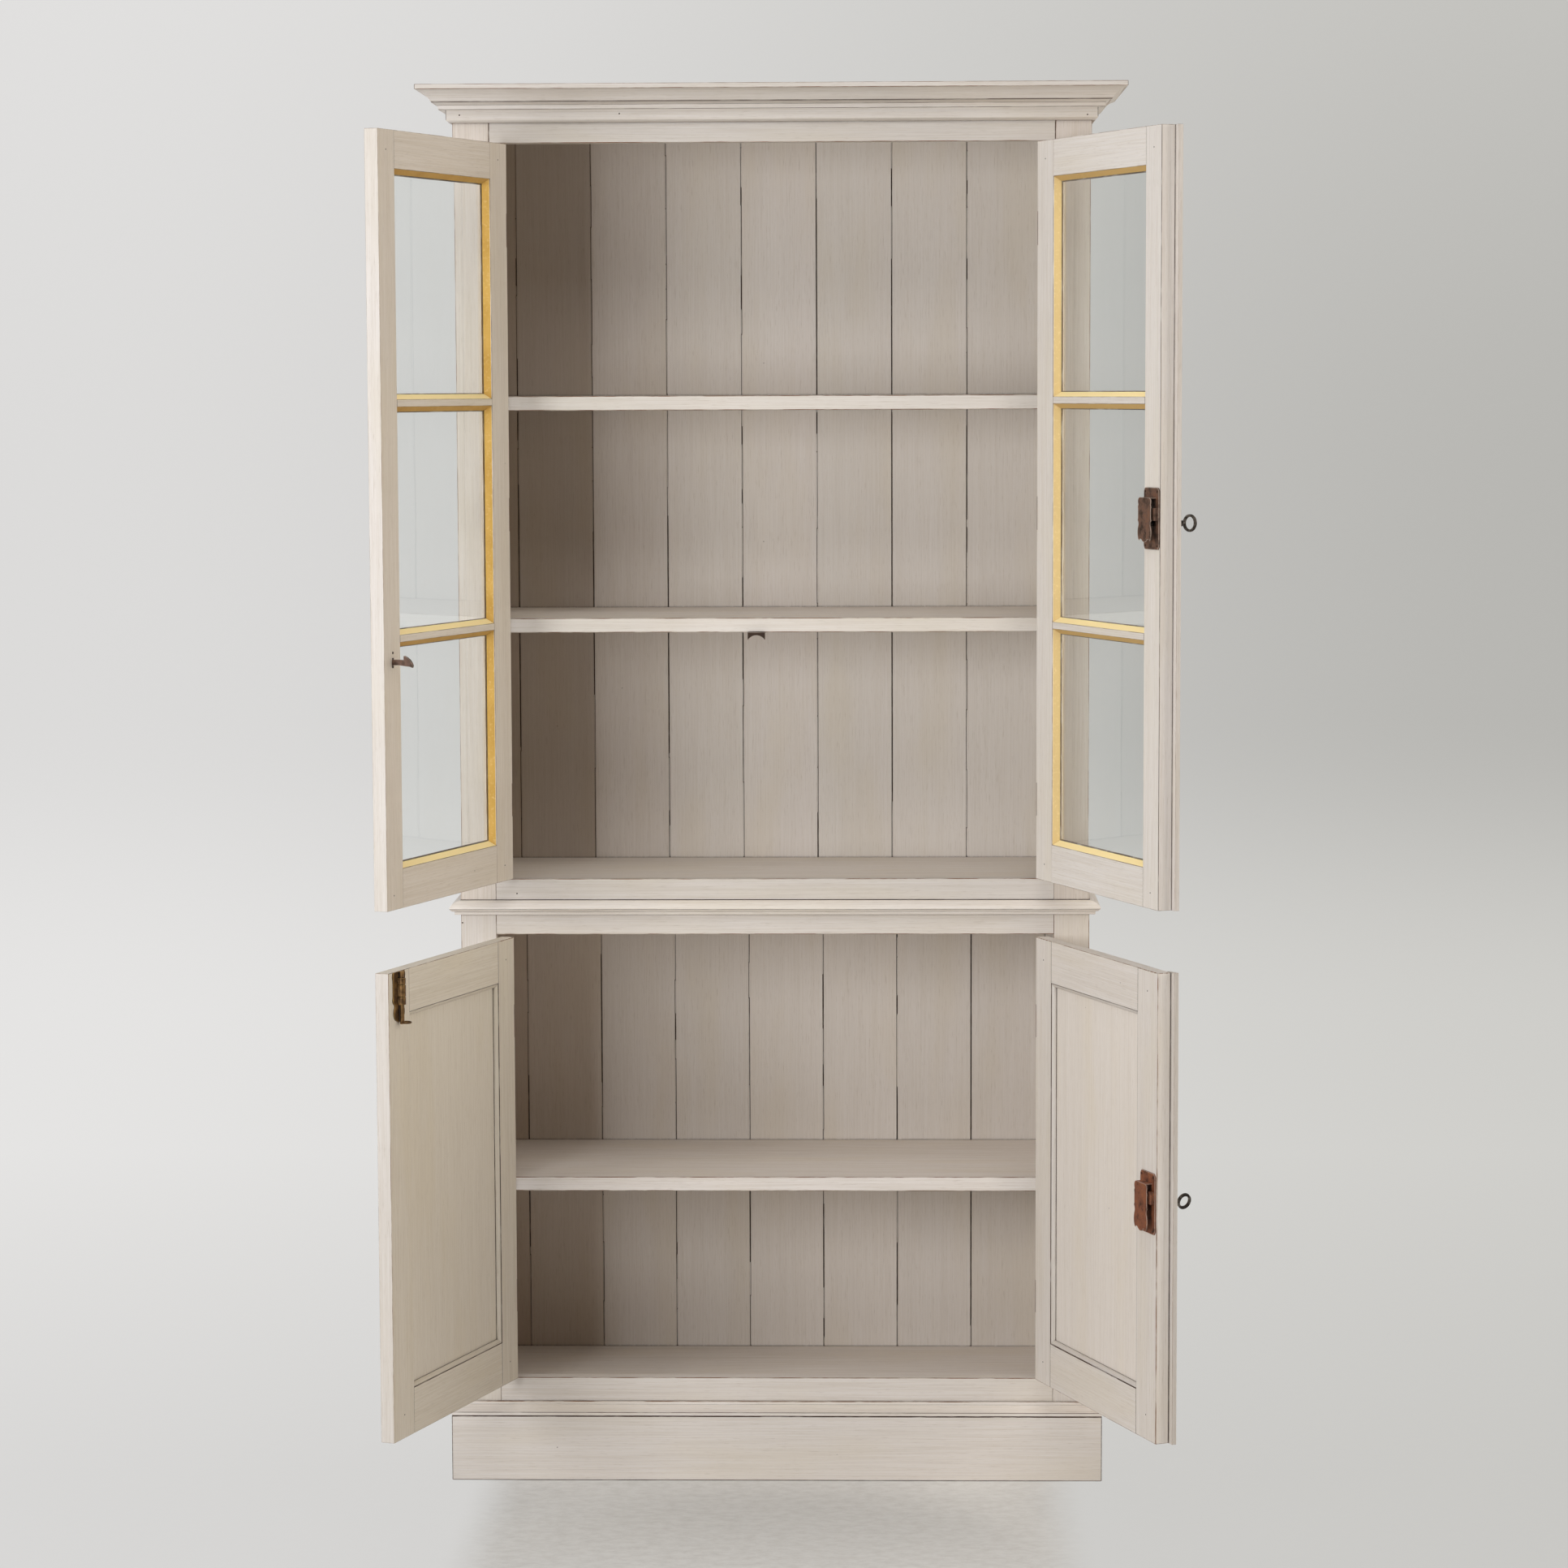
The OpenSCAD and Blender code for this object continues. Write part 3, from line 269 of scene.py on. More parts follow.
def linseedPutty(look):
    # Linseed putty pressed in with a knife and left unpainted: chalky ochre yellow, dull, uneven
    material, tree = newMaterial("linseedPutty")
    place = addNode(tree, "TexCoord").outputs["Object"]
    tone = addNode(tree, "Attribute", attribute_name="tone").outputs["Fac"]
    stroked = addNode(tree, "Mapping", {"Vector": place, "Scale": perMm(*look["smears"])})
    smears = addNode(tree, "TexNoise", {"Vector": stroked, "Scale": 1.0, "Detail": 3.0, "Roughness": 0.6})
    crumbled = addNode(tree, "Mapping", {"Vector": place, "Scale": perMm(*look["crumbs"])})
    crumbs = addNode(tree, "TexNoise", {"Vector": crumbled, "Scale": 1.0, "Detail": 2.0, "Roughness": 0.5})
    smearShare = addNode(tree, "MapRange", {"Value": smears, "From Min": 0.38, "From Max": 0.68})
    colour = addNode(tree, "Mix", {0: smearShare, 6: linear(look["ochre"]), 7: linear(look["smear"])},
                     data_type="RGBA").outputs[2]
    colour = addNode(tree, "Mix", {0: tone, 6: colour, 7: linear(look["cream"])},
                     data_type="RGBA").outputs[2]
    crumbShare = addNode(tree, "MapRange", {"Value": crumbs, "From Min": 0.55, "From Max": 0.8,
                                            "To Min": 0.0, "To Max": 0.35})
    colour = addNode(tree, "Mix", {0: crumbShare, 6: colour, 7: linear(look["dust"])},
                     data_type="RGBA").outputs[2]
    # Painted light and shade: faces that look up are lighter, faces that look down browner
    facing = addNode(tree, "NewGeometry").outputs["Normal"]
    rise = addNode(tree, "SeparateXYZ", {"Vector": facing}).outputs["Z"]
    topLightShare = addNode(tree, "MapRange", {"Value": rise, "From Min": 0.3, "From Max": 0.7,
                                         "To Min": 0.0, "To Max": 1.0})
    colour = addNode(tree, "Mix", {0: topLightShare, 6: colour, 7: linear(look["dust"])},
                     data_type="RGBA").outputs[2]
    undersideShadeShare = addNode(tree, "MapRange", {"Value": rise, "From Min": -0.3, "From Max": -0.7,
                                           "To Min": 0.0, "To Max": 0.6})
    colour = addNode(tree, "Mix", {0: undersideShadeShare, 6: colour, 7: linear(look["under"])},
                     data_type="RGBA").outputs[2]
    # Painted shade: darker in the corner along the glass
    corner = addNode(tree, "AmbientOcclusion", {"Distance": 2 * mm}, samples=6).outputs["AO"]
    cornerDarkShare = addNode(tree, "MapRange", {"Value": corner, "From Min": 0.35, "From Max": 0.75,
                                           "To Min": 0.7, "To Max": 0.0})
    colour = addNode(tree, "Mix", {0: cornerDarkShare, 6: colour, 7: linear(look["dirt"])},
                     data_type="RGBA").outputs[2]
    relief = addNode(tree, "Bump", {"Height": smears, "Strength": 0.5, "Distance": 0.8 * mm})
    shader = addNode(tree, "BsdfPrincipled", {"Base Color": colour, "Roughness": 0.72, "Normal": relief})
    addNode(tree, "OutputMaterial", {"Surface": shader})
    return material


rustLook = {
    "dark": "#3b2b21",         # old black scale
    "brown": "#65493a",        # dry brown rust
    "red": "#7d4830",          # fresher, redder rust
    "orange": "#a4653a",       # powdery spots
    "edge": "#b9a898",         # rubbed bright on the edges
    "blotches": (13, 13, 13),  # mm
    "grit": (1.8, 1.8, 1.8),   # mm; rust grains are finer, drawn wider so that they show
}


def rustedSteel(look):
    # Sheet steel browned by rust: matt brown, orange in patches, dark scale in between, rubbed edges
    material, tree = newMaterial("rustedSteel")
    place = addNode(tree, "TexCoord").outputs["Object"]
    tone = addNode(tree, "Attribute", attribute_name="tone").outputs["Fac"]
    wear = addNode(tree, "Attribute", attribute_name="wear").outputs["Fac"]
    blotched = addNode(tree, "Mapping", {"Vector": place, "Scale": perMm(*look["blotches"])})
    blotches = addNode(tree, "TexNoise", {"Vector": blotched, "Scale": 1.0, "Detail": 4.0,
                                          "Roughness": 0.65})
    grained = addNode(tree, "Mapping", {"Vector": place, "Scale": perMm(*look["grit"])})
    grit = addNode(tree, "TexNoise", {"Vector": grained, "Scale": 1.0, "Detail": 3.0, "Roughness": 0.6})
    redShare = addNode(tree, "MapRange", {"Value": tone, "From Min": 0.5, "From Max": 1.0})
    rust = addNode(tree, "Mix", {0: redShare, 6: linear(look["brown"]), 7: linear(look["red"])},
                   data_type="RGBA").outputs[2]
    rustShare = addNode(tree, "MapRange", {"Value": tone, "From Min": 0.0, "From Max": 0.5,
                                           "To Min": -0.5, "To Max": 0.35})
    rustShare = addNode(tree, "Math", {0: rustShare, 1: blotches}, operation="ADD")
    rustShare = addNode(tree, "MapRange", {"Value": rustShare, "From Min": 0.6, "From Max": 0.85},
                        interpolation_type="SMOOTHSTEP")
    colour = addNode(tree, "Mix", {0: rustShare, 6: linear(look["dark"]), 7: rust},
                     data_type="RGBA").outputs[2]
    spotShare = addNode(tree, "Math", {0: blotches, 1: grit}, operation="MULTIPLY")
    spotShare = addNode(tree, "MapRange", {"Value": spotShare, "From Min": 0.27, "From Max": 0.38,
                                           "To Min": 0.0, "To Max": 0.8})
    spotShare = addNode(tree, "Math", {0: spotShare, 1: tone}, operation="MULTIPLY")
    colour = addNode(tree, "Mix", {0: spotShare, 6: colour, 7: linear(look["orange"])},
                     data_type="RGBA").outputs[2]
    edgeShare = addNode(tree, "MapRange", {"Value": blotches, "From Min": 0.35, "From Max": 0.5,
                                           "To Min": 0.4, "To Max": 0.85})
    edgeShare = addNode(tree, "Math", {0: edgeShare, 1: wear}, operation="MULTIPLY")
    colour = addNode(tree, "Mix", {0: edgeShare, 6: colour, 7: linear(look["edge"])},
                     data_type="RGBA").outputs[2]
    relief = addNode(tree, "Bump", {"Height": grit, "Strength": 0.4, "Distance": 0.2 * mm})
    polish = addNode(tree, "MapRange", {"Value": rustShare, "From Min": 0.0, "From Max": 1.0,
                                        "To Min": 0.6, "To Max": 0.15})
    sheen = addNode(tree, "MapRange", {"Value": grit, "From Min": 0.3, "From Max": 0.7,
                                       "To Min": 0.45, "To Max": 0.7})
    shader = addNode(tree, "BsdfPrincipled", {"Base Color": colour, "Metallic": polish, "Roughness": sheen,
                                              "Normal": relief})
    addNode(tree, "OutputMaterial", {"Surface": shader})
    return material


ironLook = {
    "black": "#38322e",
    "worn": "#7d766f",         # rubbed grey on the ring
    "patches": (6, 6, 6),      # mm
}


def blackIron(look):
    # Forged iron key, blackened, worn grey and shiny on the ring
    material, tree = newMaterial("blackIron")
    place = addNode(tree, "TexCoord").outputs["Object"]
    spotted = addNode(tree, "Mapping", {"Vector": place, "Scale": perMm(*look["patches"])})
    worn = addNode(tree, "TexNoise", {"Vector": spotted, "Scale": 1.0, "Detail": 3.0, "Roughness": 0.6})
    share = addNode(tree, "MapRange", {"Value": worn, "From Min": 0.42, "From Max": 0.68})
    colour = addNode(tree, "Mix", {0: share, 6: linear(look["black"]), 7: linear(look["worn"])},
                     data_type="RGBA").outputs[2]
    relief = addNode(tree, "Bump", {"Height": worn, "Strength": 0.25, "Distance": 0.2 * mm})
    sheen = addNode(tree, "MapRange", {"Value": worn, "From Min": 0.4, "From Max": 0.7,
                                       "To Min": 0.5, "To Max": 0.32})
    shader = addNode(tree, "BsdfPrincipled", {"Base Color": colour, "Metallic": 0.9, "Roughness": sheen,
                                              "Normal": relief})
    addNode(tree, "OutputMaterial", {"Surface": shader})
    return material


brassLook = {
    "brown": "#5f472e",        # tarnished
    "dull": "#8f6e44",
    "bright": "#c4a060",       # where fingers and the rod rub it
    "dirt": "#241a12",         # in the corners
    "tarnish": (9, 9, 9),      # mm
}


def agedBrass(look):
    # Cast brass gone brown in the hollows, still yellow where fingers rub it
    material, tree = newMaterial("agedBrass")
    place = addNode(tree, "TexCoord").outputs["Object"]
    wear = addNode(tree, "Attribute", attribute_name="wear").outputs["Fac"]
    stained = addNode(tree, "Mapping", {"Vector": place, "Scale": perMm(*look["tarnish"])})
    tarnish = addNode(tree, "TexNoise", {"Vector": stained, "Scale": 1.0, "Detail": 4.0, "Roughness": 0.6})
    share = addNode(tree, "MapRange", {"Value": tarnish, "From Min": 0.4, "From Max": 0.65})
    colour = addNode(tree, "Mix", {0: share, 6: linear(look["brown"]), 7: linear(look["dull"])},
                     data_type="RGBA").outputs[2]
    rubbed = addNode(tree, "Math", {0: wear, 1: 0.7}, operation="MULTIPLY")
    colour = addNode(tree, "Mix", {0: rubbed, 6: colour, 7: linear(look["bright"])},
                     data_type="RGBA").outputs[2]
    corner = addNode(tree, "AmbientOcclusion", {"Distance": 3 * mm}, samples=6).outputs["AO"]
    cornerDarkShare = addNode(tree, "MapRange", {"Value": corner, "From Min": 0.3, "From Max": 0.8,
                                           "To Min": 0.85, "To Max": 0.0})
    colour = addNode(tree, "Mix", {0: cornerDarkShare, 6: colour, 7: linear(look["dirt"])},
                     data_type="RGBA").outputs[2]
    relief = addNode(tree, "Bump", {"Height": tarnish, "Strength": 0.3, "Distance": 0.2 * mm})
    sheen = addNode(tree, "MapRange", {"Value": tarnish, "From Min": 0.3, "From Max": 0.7,
                                       "To Min": 0.3, "To Max": 0.5})
    shader = addNode(tree, "BsdfPrincipled", {"Base Color": colour, "Metallic": 0.8, "Roughness": sheen,
                                              "Normal": relief})
    addNode(tree, "OutputMaterial", {"Surface": shader})
    return material


finishes = {
    "painted_pine": paintedPine(paintLook),
    "glass": drawnGlass(glassLook),
    "putty": linseedPutty(puttyLook),
    "rusted_steel": rustedSteel(rustLook),
    "black_iron": blackIron(ironLook),
    "aged_brass": agedBrass(brassLook),
}
slotOfNode = {part["node"]: part["material_slot"] for part in frame["record"]["subparts"]}
print("materials made")


# Boards and fittings
# Every CAD node but the panes is copied, its arrises broken, and its boards given their own grain
arrisLook = {
    # the width of the broken arris, its segments, and the length under which an edge stays sharp
    "painted_pine": {"arris": 1.1 * mm, "segments": 2, "from": 6 * mm},
    "putty": {"arris": 0.5 * mm, "segments": 1, "from": 0},
    "rusted_steel": {"arris": 0.45 * mm, "segments": 2, "from": 0},
    "black_iron": {"arris": 0.3 * mm, "segments": 2, "from": 0},
    "aged_brass": {"arris": 0.35 * mm, "segments": 2, "from": 0},
    "backBoards": {"arris": 0.3 * mm, "mark": 0.4},
    "quirk": {"under": 1.25 * mm, "mark": 0.8},        # narrow faces of a moulding, where wax stays
    "foot": 1.5 * mm,           # painted shade: bevels lower than this, where the plinth stands on the floor, are darkened in the wax brown as a contact shadow
    "touching": 0.35 * mm,      # edges this close to another piece are joints, not arrises
    "beadJoint": 0.5,           # how much of the wax the joints beside the beads keep
    "sharpFrom": math.radians(50),
    "weld": 0.01 * mm,
    "flat": math.radians(0.5),
}
paintedOver = [{"upper_stiles", "upper_frieze_rail", "upper_base_rail", "upper_sides"},
               {"lower_stiles", "lower_head_rail", "lower_base_rail", "lower_sides"},
               {"waist_front", "waist_returns"}]       # joints that the paint has closed
mouldings = {"cornice_front", "cornice_returns", "waist_front", "waist_returns",
             "plinth_cap_front", "plinth_cap_returns"}

toneAndShadeOfNode = {       # how light a piece is against the paint: partly its own tone, partly painted light and shade, such as the frieze darkened as if in the cornice's shadow
    "cornice_front": 0.96, "upper_frieze_rail": 0.87, "upper_base_rail": 0.91, "upper_floor_board": 1.05,
    "middle_shelf": 1.06, "waist_front": 1.14, "lower_stiles": 1.03, "lower_shelf": 1.17,
    "lower_floor_board": 1.09, "lower_base_rail": 1.05, "plinth_cap_front": 1.12, "plinth_front": 1.06,
    "upper_left_frame": 1.02, "upper_right_frame": 1.06, "upper_astragal": 0.94,
    "lower_left_frame": 1.04, "lower_left_panel": 1.05, "lower_right_panel": 1.04,
    "lower_right_beads": 0.9, "lower_astragal": 0.87,
    # putty: 0 is the ochre of the left door, 1 a pale cream
    "upper_left_putty": 0.0, "upper_right_putty": 0.7,
    # steel: 0 is dark scale, 0.5 brown rust, 1 red rust
    "catch_keeper": 0.05, "catch_hook": 0.45, "catch_pivot": 0.3, "frame_hinge_leaves": 0.35,
    "upper_lock_case": 0.47, "upper_lock_bolt": 0.5, "lower_lock_case": 1.0, "lower_lock_bolt": 0.9,
}
shadeTintOfNode = {       # painted shade: how much green and blue a piece lacks, warmer where the piece stands in shade, as on the left doors
    "upper_left_frame": (0.03, 0.08), "upper_left_bars": (0.03, 0.08), "lower_left_frame": (0.015, 0.09),
    "lower_left_panel": (0.015, 0.09), "lower_left_beads": (0.015, 0.09), "upper_stiles": (0.03, 0.05),
    "lower_right_panel": (0.01, 0.03), "upper_right_frame": (-0.01, -0.02),
}
edgeLightOfNode = {   # painted light and shade: how light the two upright edges of a door are, lighter on the right doors, darker on the left
    "upper_left_frame": 0.97, "lower_left_frame": 0.93, "upper_right_frame": 1.14, "lower_right_frame": 1.2,
}
# how strongly the brush streaks show
dragOfNode = {"upper_back_boards": 0.5, "lower_back_boards": 0.5, "lower_left_panel": 0.6,
              "lower_right_panel": 0.6}
boardTonesAndShade = {       # boards of one node, from left to right: how light, and the green and blue it lacks; the dark, warm boards at the left of the back are a painted shadow of the left door and stile, and the darker right side a painted shade
    "upper_back_boards": [(0.64, 0.11, 0.22), (0.69, 0.07, 0.14), (0.94, 0.02, 0.04), (1.0, 0.01, 0.02),
                          (1.03, 0.01, 0.01), (1.0, 0.0, 0.01), (0.98, 0.0, 0.01), (0.95, 0.0, 0.01),
                          (0.95, 0.0, 0.01)],
    "lower_back_boards": [(0.83, 0.1, 0.2), (0.9, 0.06, 0.13), (0.98, 0.02, 0.05), (1.03, 0.01, 0.03),
                          (1.04, 0.01, 0.03), (1.02, 0.01, 0.03), (0.97, 0.01, 0.03), (0.93, 0.01, 0.03),
                          (0.93, 0.01, 0.03)],
    "upper_sides": [(1.05, 0.0, 0.02), (0.8, 0.0, 0.06)],
    "upper_stiles": [(0.92, 0.03, 0.06), (0.87, 0.03, 0.05)],
}


def pieceName(node):
    first, *rest = node.split("_")
    return first + "".join(word.capitalize() for word in rest)


def turnOfNode(node):
    # turn about Z that lays a door's own width along X
    if "_left_" in node or node.startswith(("surface_bolt", "catch_hook", "catch_pivot")):
        return -doorTurn["left"]
    if "_right_" in node or node.endswith(("astragal", "lock_case", "lock_bolt", "_key")):
        return -doorTurn["right"]
    return 0.0


def mergedCopy(node):
    mesh = bmesh.new()
    mesh.from_mesh(cadNodes[node].data)
    bmesh.ops.remove_doubles(mesh, verts=mesh.verts, dist=arrisLook["weld"])
    bmesh.ops.dissolve_limit(mesh, angle_limit=arrisLook["flat"], verts=mesh.verts, edges=mesh.edges)
    return mesh


def looseParts(mesh):
    # the separate boards of one node, each as a set of vertices, from left to right
    found, parts = set(), []
    for start in mesh.verts:
        if start in found:
            continue
        part, waiting = set(), [start]
        found.add(start)
        while waiting:
            vertex = waiting.pop()
            part.add(vertex)
            for edge in vertex.link_edges:
                other = edge.other_vert(vertex)
                if other not in found:
                    found.add(other)
                    waiting.append(other)
        parts.append(part)
    return sorted(parts, key=lambda part: min(v.co.x for v in part))


def surroundings(meshes):
    # one search tree of every board's faces, with the board that each face belongs to
    points, faces, owners = [], [], []
    for node, mesh in meshes.items():
        mesh.verts.index_update()
        base = len(points)
        points.extend(v.co.copy() for v in mesh.verts)
        for number, part in enumerate(looseParts(mesh)):
            for face in mesh.faces:
                if face.verts[0] in part:
                    faces.append([base + v.index for v in face.verts])
                    owners.append((node, number))
    return BVHTree.FromPolygons(points, faces), owners


def nodesBeside(tree, owners, place, reach, board):
    # the nodes whose boards, other than this one, come this close to a place
    found = {owners[hit[2]] for hit in tree.find_nearest_range(place, reach)} - {board}
    return {node for node, _ in found}


def narrowFaces(mesh, part, under):
    faces = [face for face in mesh.faces if face.verts[0] in part]
    return {face for face in faces if face.calc_area() / max(e.calc_length() for e in face.edges) < under}


def isSharp(edge, shortest):
    return (len(edge.link_faces) == 2 and edge.is_convex and edge.calc_length() >= shortest
            and edge.calc_face_angle() >= arrisLook["sharpFrom"])


def breakArrises(mesh, node, look, tree, owners):
    # bevels each board's edges and marks them as rubbed or, beside another piece, as waxed; those at the
    # foot are marked for painted shade
    worn = mesh.faces.layers.float.new("wear")
    waxedAndShaded = mesh.faces.layers.float.new("joint")
    backBoards = node in seamLook
    painted = slotOfNode[node] == "painted_pine"
    width, mark = look["arris"], 1.0
    if backBoards:
        width, mark = arrisLook["backBoards"]["arris"], arrisLook["backBoards"]["mark"]
    waxAndShadeMark = arrisLook["beadJoint"] if node.endswith("beads") else 1.0

    for number, part in enumerate(looseParts(mesh)):
        board = (node, number)
        quirks = narrowFaces(mesh, part, arrisLook["quirk"]["under"]) if node in mouldings else set()
        for face in quirks:
            face[waxedAndShaded] = arrisLook["quirk"]["mark"]
        arrises = []
        for edge in mesh.edges:
            if edge.verts[0] not in part or not isSharp(edge, look["from"]):
                continue
            if quirks.intersection(edge.link_faces):
                continue
            middle = (edge.verts[0].co + edge.verts[1].co) / 2
            near = nodesBeside(tree, owners, middle, arrisLook["touching"], board)
            closed = near == {node} or any(near | {node} <= group for group in paintedOver)
            if backBoards or not near or (painted and not closed):
                arrises.append(edge)
        if not arrises:
            continue
        # one bevel for the whole board, since a second one would renew the first one's edges
        made = bmesh.ops.bevel(mesh, geom=arrises, offset=width, offset_type="OFFSET", affect="EDGES",
                               segments=look["segments"], profile=0.5, material=-1, clamp_overlap=True)
        for face in made["faces"]:
            middle = face.calc_center_median()
            joined = not backBoards and nodesBeside(tree, owners, middle, width, board)
            # bevels beside another piece get wax; those at the foot get painted shade, a contact shadow in
            # the wax brown
            if painted and (joined or middle.z < arrisLook["foot"]):
                face[waxedAndShaded] = waxAndShadeMark
            else:
                face[worn] = mark


boardLook = {
    "scatter": 9.0,            # metres over which boards take their places in the patterns
    "differ": 0.015,           # boards of one node differ this much in lightness
    "edgeFrom": 0.8,           # how squarely a face looks sideways, to be a door's upright edge
    "outFrom": 0.5,            # how squarely a face looks outwards, to be on the outside
    "unpainted": 0.6,          # tone of a fitting that toneAndShadeOfNode leaves out
}


def boardTint(shade, lackGreen=0.0, lackBlue=0.0):
    return Vector((shade, shade * (1 - lackGreen), shade * (1 - lackBlue)))


def looksOut(node, face, turned):
    # whether a face is on the outside of a shut door, of the sides or of the back
    facing = turned @ face.normal
    if turnOfNode(node):
        return facing.y < -boardLook["outFrom"]
    sideways = abs(facing.x) > boardLook["outFrom"] and facing.x * face.calc_center_median().x > 0
    return sideways or facing.y > boardLook["outFrom"]


def toneFaces(mesh, node, number, part, turned, variation):
    # painted light and shade: the inner faces take the shade and warmth fitted to how the light falls on
    # them, and a door's upright edges their own lightness; the outer faces stay plain
    tone = mesh.faces.layers.float_vector["tone"]
    painted = slotOfNode[node] == "painted_pine"
    plain = 1.0 if painted else boardLook["unpainted"]
    shade = (toneAndShadeOfNode.get(node, plain), *shadeTintOfNode.get(node, (0.0, 0.0)))
    if node in boardTonesAndShade:
        shade = boardTonesAndShade[node][number]
    for face in {f for v in part for f in v.link_faces}:
        if node in edgeLightOfNode and abs((turned @ face.normal).x) > boardLook["edgeFrom"]:
            face[tone] = boardTint(edgeLightOfNode[node])
        elif painted and looksOut(node, face, turned):
            face[tone] = boardTint(variation)
        else:
            face[tone] = boardTint(*shade) * variation


def boardCoordinates(mesh, node, chance):
    # each board's own coordinates in metres: x along its length, y across its width
    grain = mesh.verts.layers.float_vector.new("grain")
    drag = mesh.verts.layers.float.new("drag")
    mesh.faces.layers.float_vector.new("tone")
    turned = Matrix.Rotation(turnOfNode(node), 3, "Z")
    scatter, differ = boardLook["scatter"], boardLook["differ"]
    for number, part in enumerate(looseParts(mesh)):
        local = {v: turned @ v.co for v in part}
        spans = []
        for axis in range(3):
            values = [p[axis] for p in local.values()]
            spans.append((max(values) - min(values), axis))
        order = [axis for _, axis in sorted(spans, reverse=True)]
        shift = Vector([chance.uniform(0, scatter) for _ in range(3)])
        for vertex, point in local.items():
            vertex[grain] = Vector([point[axis] for axis in order]) + shift
            vertex[drag] = dragOfNode.get(node, 1.0)
        variation = 1.0
        if slotOfNode[node] == "painted_pine":
            variation = chance.uniform(1 - differ, 1 + differ)
        toneFaces(mesh, node, number, part, turned, variation)


# Paint that has closed the seams between the back boards to a thin line, but for their open lengths
seamLook = {
    # mm: the gap, the boards' front face, their spacing, the paint's depth and how far back it sits
    "gap": 1.8, "boardFace": 345.0, "pitch": 114.4, "deep": 1.4, "sunk": 0.5,
    "fill": (0.7, 1.25),       # mm of the gap that the paint takes
    "run": (35, 150),          # mm; one run of paint, before it changes side or width
    "shortest": 6,             # mm; a shorter run is left out
    "between": 1.5,            # mm left open between runs
    "tone": 0.92,              # how light the paint is against the board
    # "open" lists the open lengths of each seam, from left to right, as lowest and highest z in mm
    "upper_back_boards": {
        "first": -399, "low": 885, "high": 1990,
        "open": [
            [(1056, 1230), (1270, 1458), (1527, 1567), (1589, 1650), (1762, 1802)],
            [(1139, 1230), (1270, 1386)],
            [(934, 956), (1046, 1230), (1270, 1410)],
            [(1160, 1230), (1273, 1315), (1430, 1450), (1520, 1546), (1725, 1775), (1882, 1908)],
            [(884, 953), (1536, 1567), (1589, 1890)],
            [(971, 1230), (1272, 1567), (1590, 1799), (1880, 1935)],
            [(1354, 1391), (1404, 1546), (1769, 1799), (1898, 1917)],
            [(1100, 1160), (1650, 1790)],
        ],
    },
    "lower_back_boards": {
        "first": -392, "low": 117, "high": 842,
        "open": [
            [(274, 362), (444, 543)],
            [(533, 733)],
            [(262, 280), (600, 640)],
            [(250, 420)],
            [(131, 160), (210, 341), (528, 560), (620, 701)],
            [(183, 280), (441, 525), (640, 668), (760, 800)],
            [(150, 420), (443, 840)],
            [(300, 380)],
        ],
    },
}


def paintSeams(mesh, node, look, chance):
    grain = mesh.verts.layers.float_vector["grain"]
    tone = mesh.faces.layers.float_vector["tone"]
    seams = look[node]
    for number, openLengths in enumerate(seams["open"]):
        across = seams["first"] + number * look["pitch"]
        tint = boardTint(*boardTonesAndShade[node][number]) * look["tone"]
        height = seams["low"]
        while height < seams["high"]:
            top = min(height + chance.uniform(*look["run"]), seams["high"])
            wide = chance.uniform(*look["fill"])
            side = chance.choice((-1, 1))
            for low, high in openLengths:
                if height < high and top > low:
                    top = low if height < low else height
                    break
            if top - height > look["shortest"]:
                centre = Vector((across + side * (look["gap"] - wide) / 2,
                                 look["boardFace"] + look["sunk"] + look["deep"] / 2,
                                 (height + top) / 2)) * mm
                size = Vector((wide, look["deep"], top - height - look["between"])) * mm
                placed = Matrix.Translation(centre) @ Matrix.Diagonal(size.to_4d())
                made = bmesh.ops.create_cube(mesh, size=1, matrix=placed)
                for vertex in made["verts"]:
                    vertex[grain] = vertex.co.zxy
                    for face in vertex.link_faces:
                        face[tone] = tint
            height = top
            for low, high in openLengths:
                if low - 0.1 <= height < high:
                    height = high
                    break


def addPiece(name, mesh, body, slot, *replaced):
    data = bpy.data.meshes.new(name)
    mesh.to_mesh(data)
    mesh.free()
    piece = bpy.data.objects.new(name, data)
    scene.collection.objects.link(piece)
    data.materials.append(finishes[slot])
    data.shade_smooth()
    data.set_sharp_from_angle(angle=arrisLook["sharpFrom"])
    smoothing = piece.modifiers.new("evenFaces", "WEIGHTED_NORMAL")
    smoothing.keep_sharp = True
    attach(piece, body)
    if replaced:
        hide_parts(*replaced)
    return piece


def dressNodes():
    meshes = {node: mergedCopy(node) for node in cadNodes if slotOfNode[node] != "glass"}
    tree, owners = surroundings(meshes)
    for count, (node, mesh) in enumerate(meshes.items()):
        slot = slotOfNode[node]
        chance = random.Random(count)
        breakArrises(mesh, node, arrisLook[slot], tree, owners)
        boardCoordinates(mesh, node, chance)
        if node in seamLook:
            paintSeams(mesh, node, seamLook, chance)
        addPiece(pieceName(node), mesh, bodyOfNode[node], slot, node)
    for node in cadNodes:
        if slotOfNode[node] == "glass":
            data = cadNodes[node].data
            data.materials.clear()
            data.materials.append(finishes["glass"])
    print("nodes dressed:", len(meshes))


dressNodes()


# Nails and screws
hingePin = Vector((-406.25, -8, 0))      # the left doors' pin, in mm
pinToDoor = Vector((0.75, 8, 0))         # from there to the shut door's outer corner

nailLook = {"wide": 2.2, "proud": 0.35, "tone": 0.1}         # mm
screwLook = {"wide": 4.0, "proud": 0.8, "tone": 0.3}

# On the front of the case, in mm
caseNails = [(-447.7, -8.5, 1995.8), (-218.0, -8.5, 1996.9), (452.1, -8.5, 1992.3), (-376.7, 0, 870.3),
             (-456.9, 0, 827.3)]
forwards = Vector((0, -1, 0))

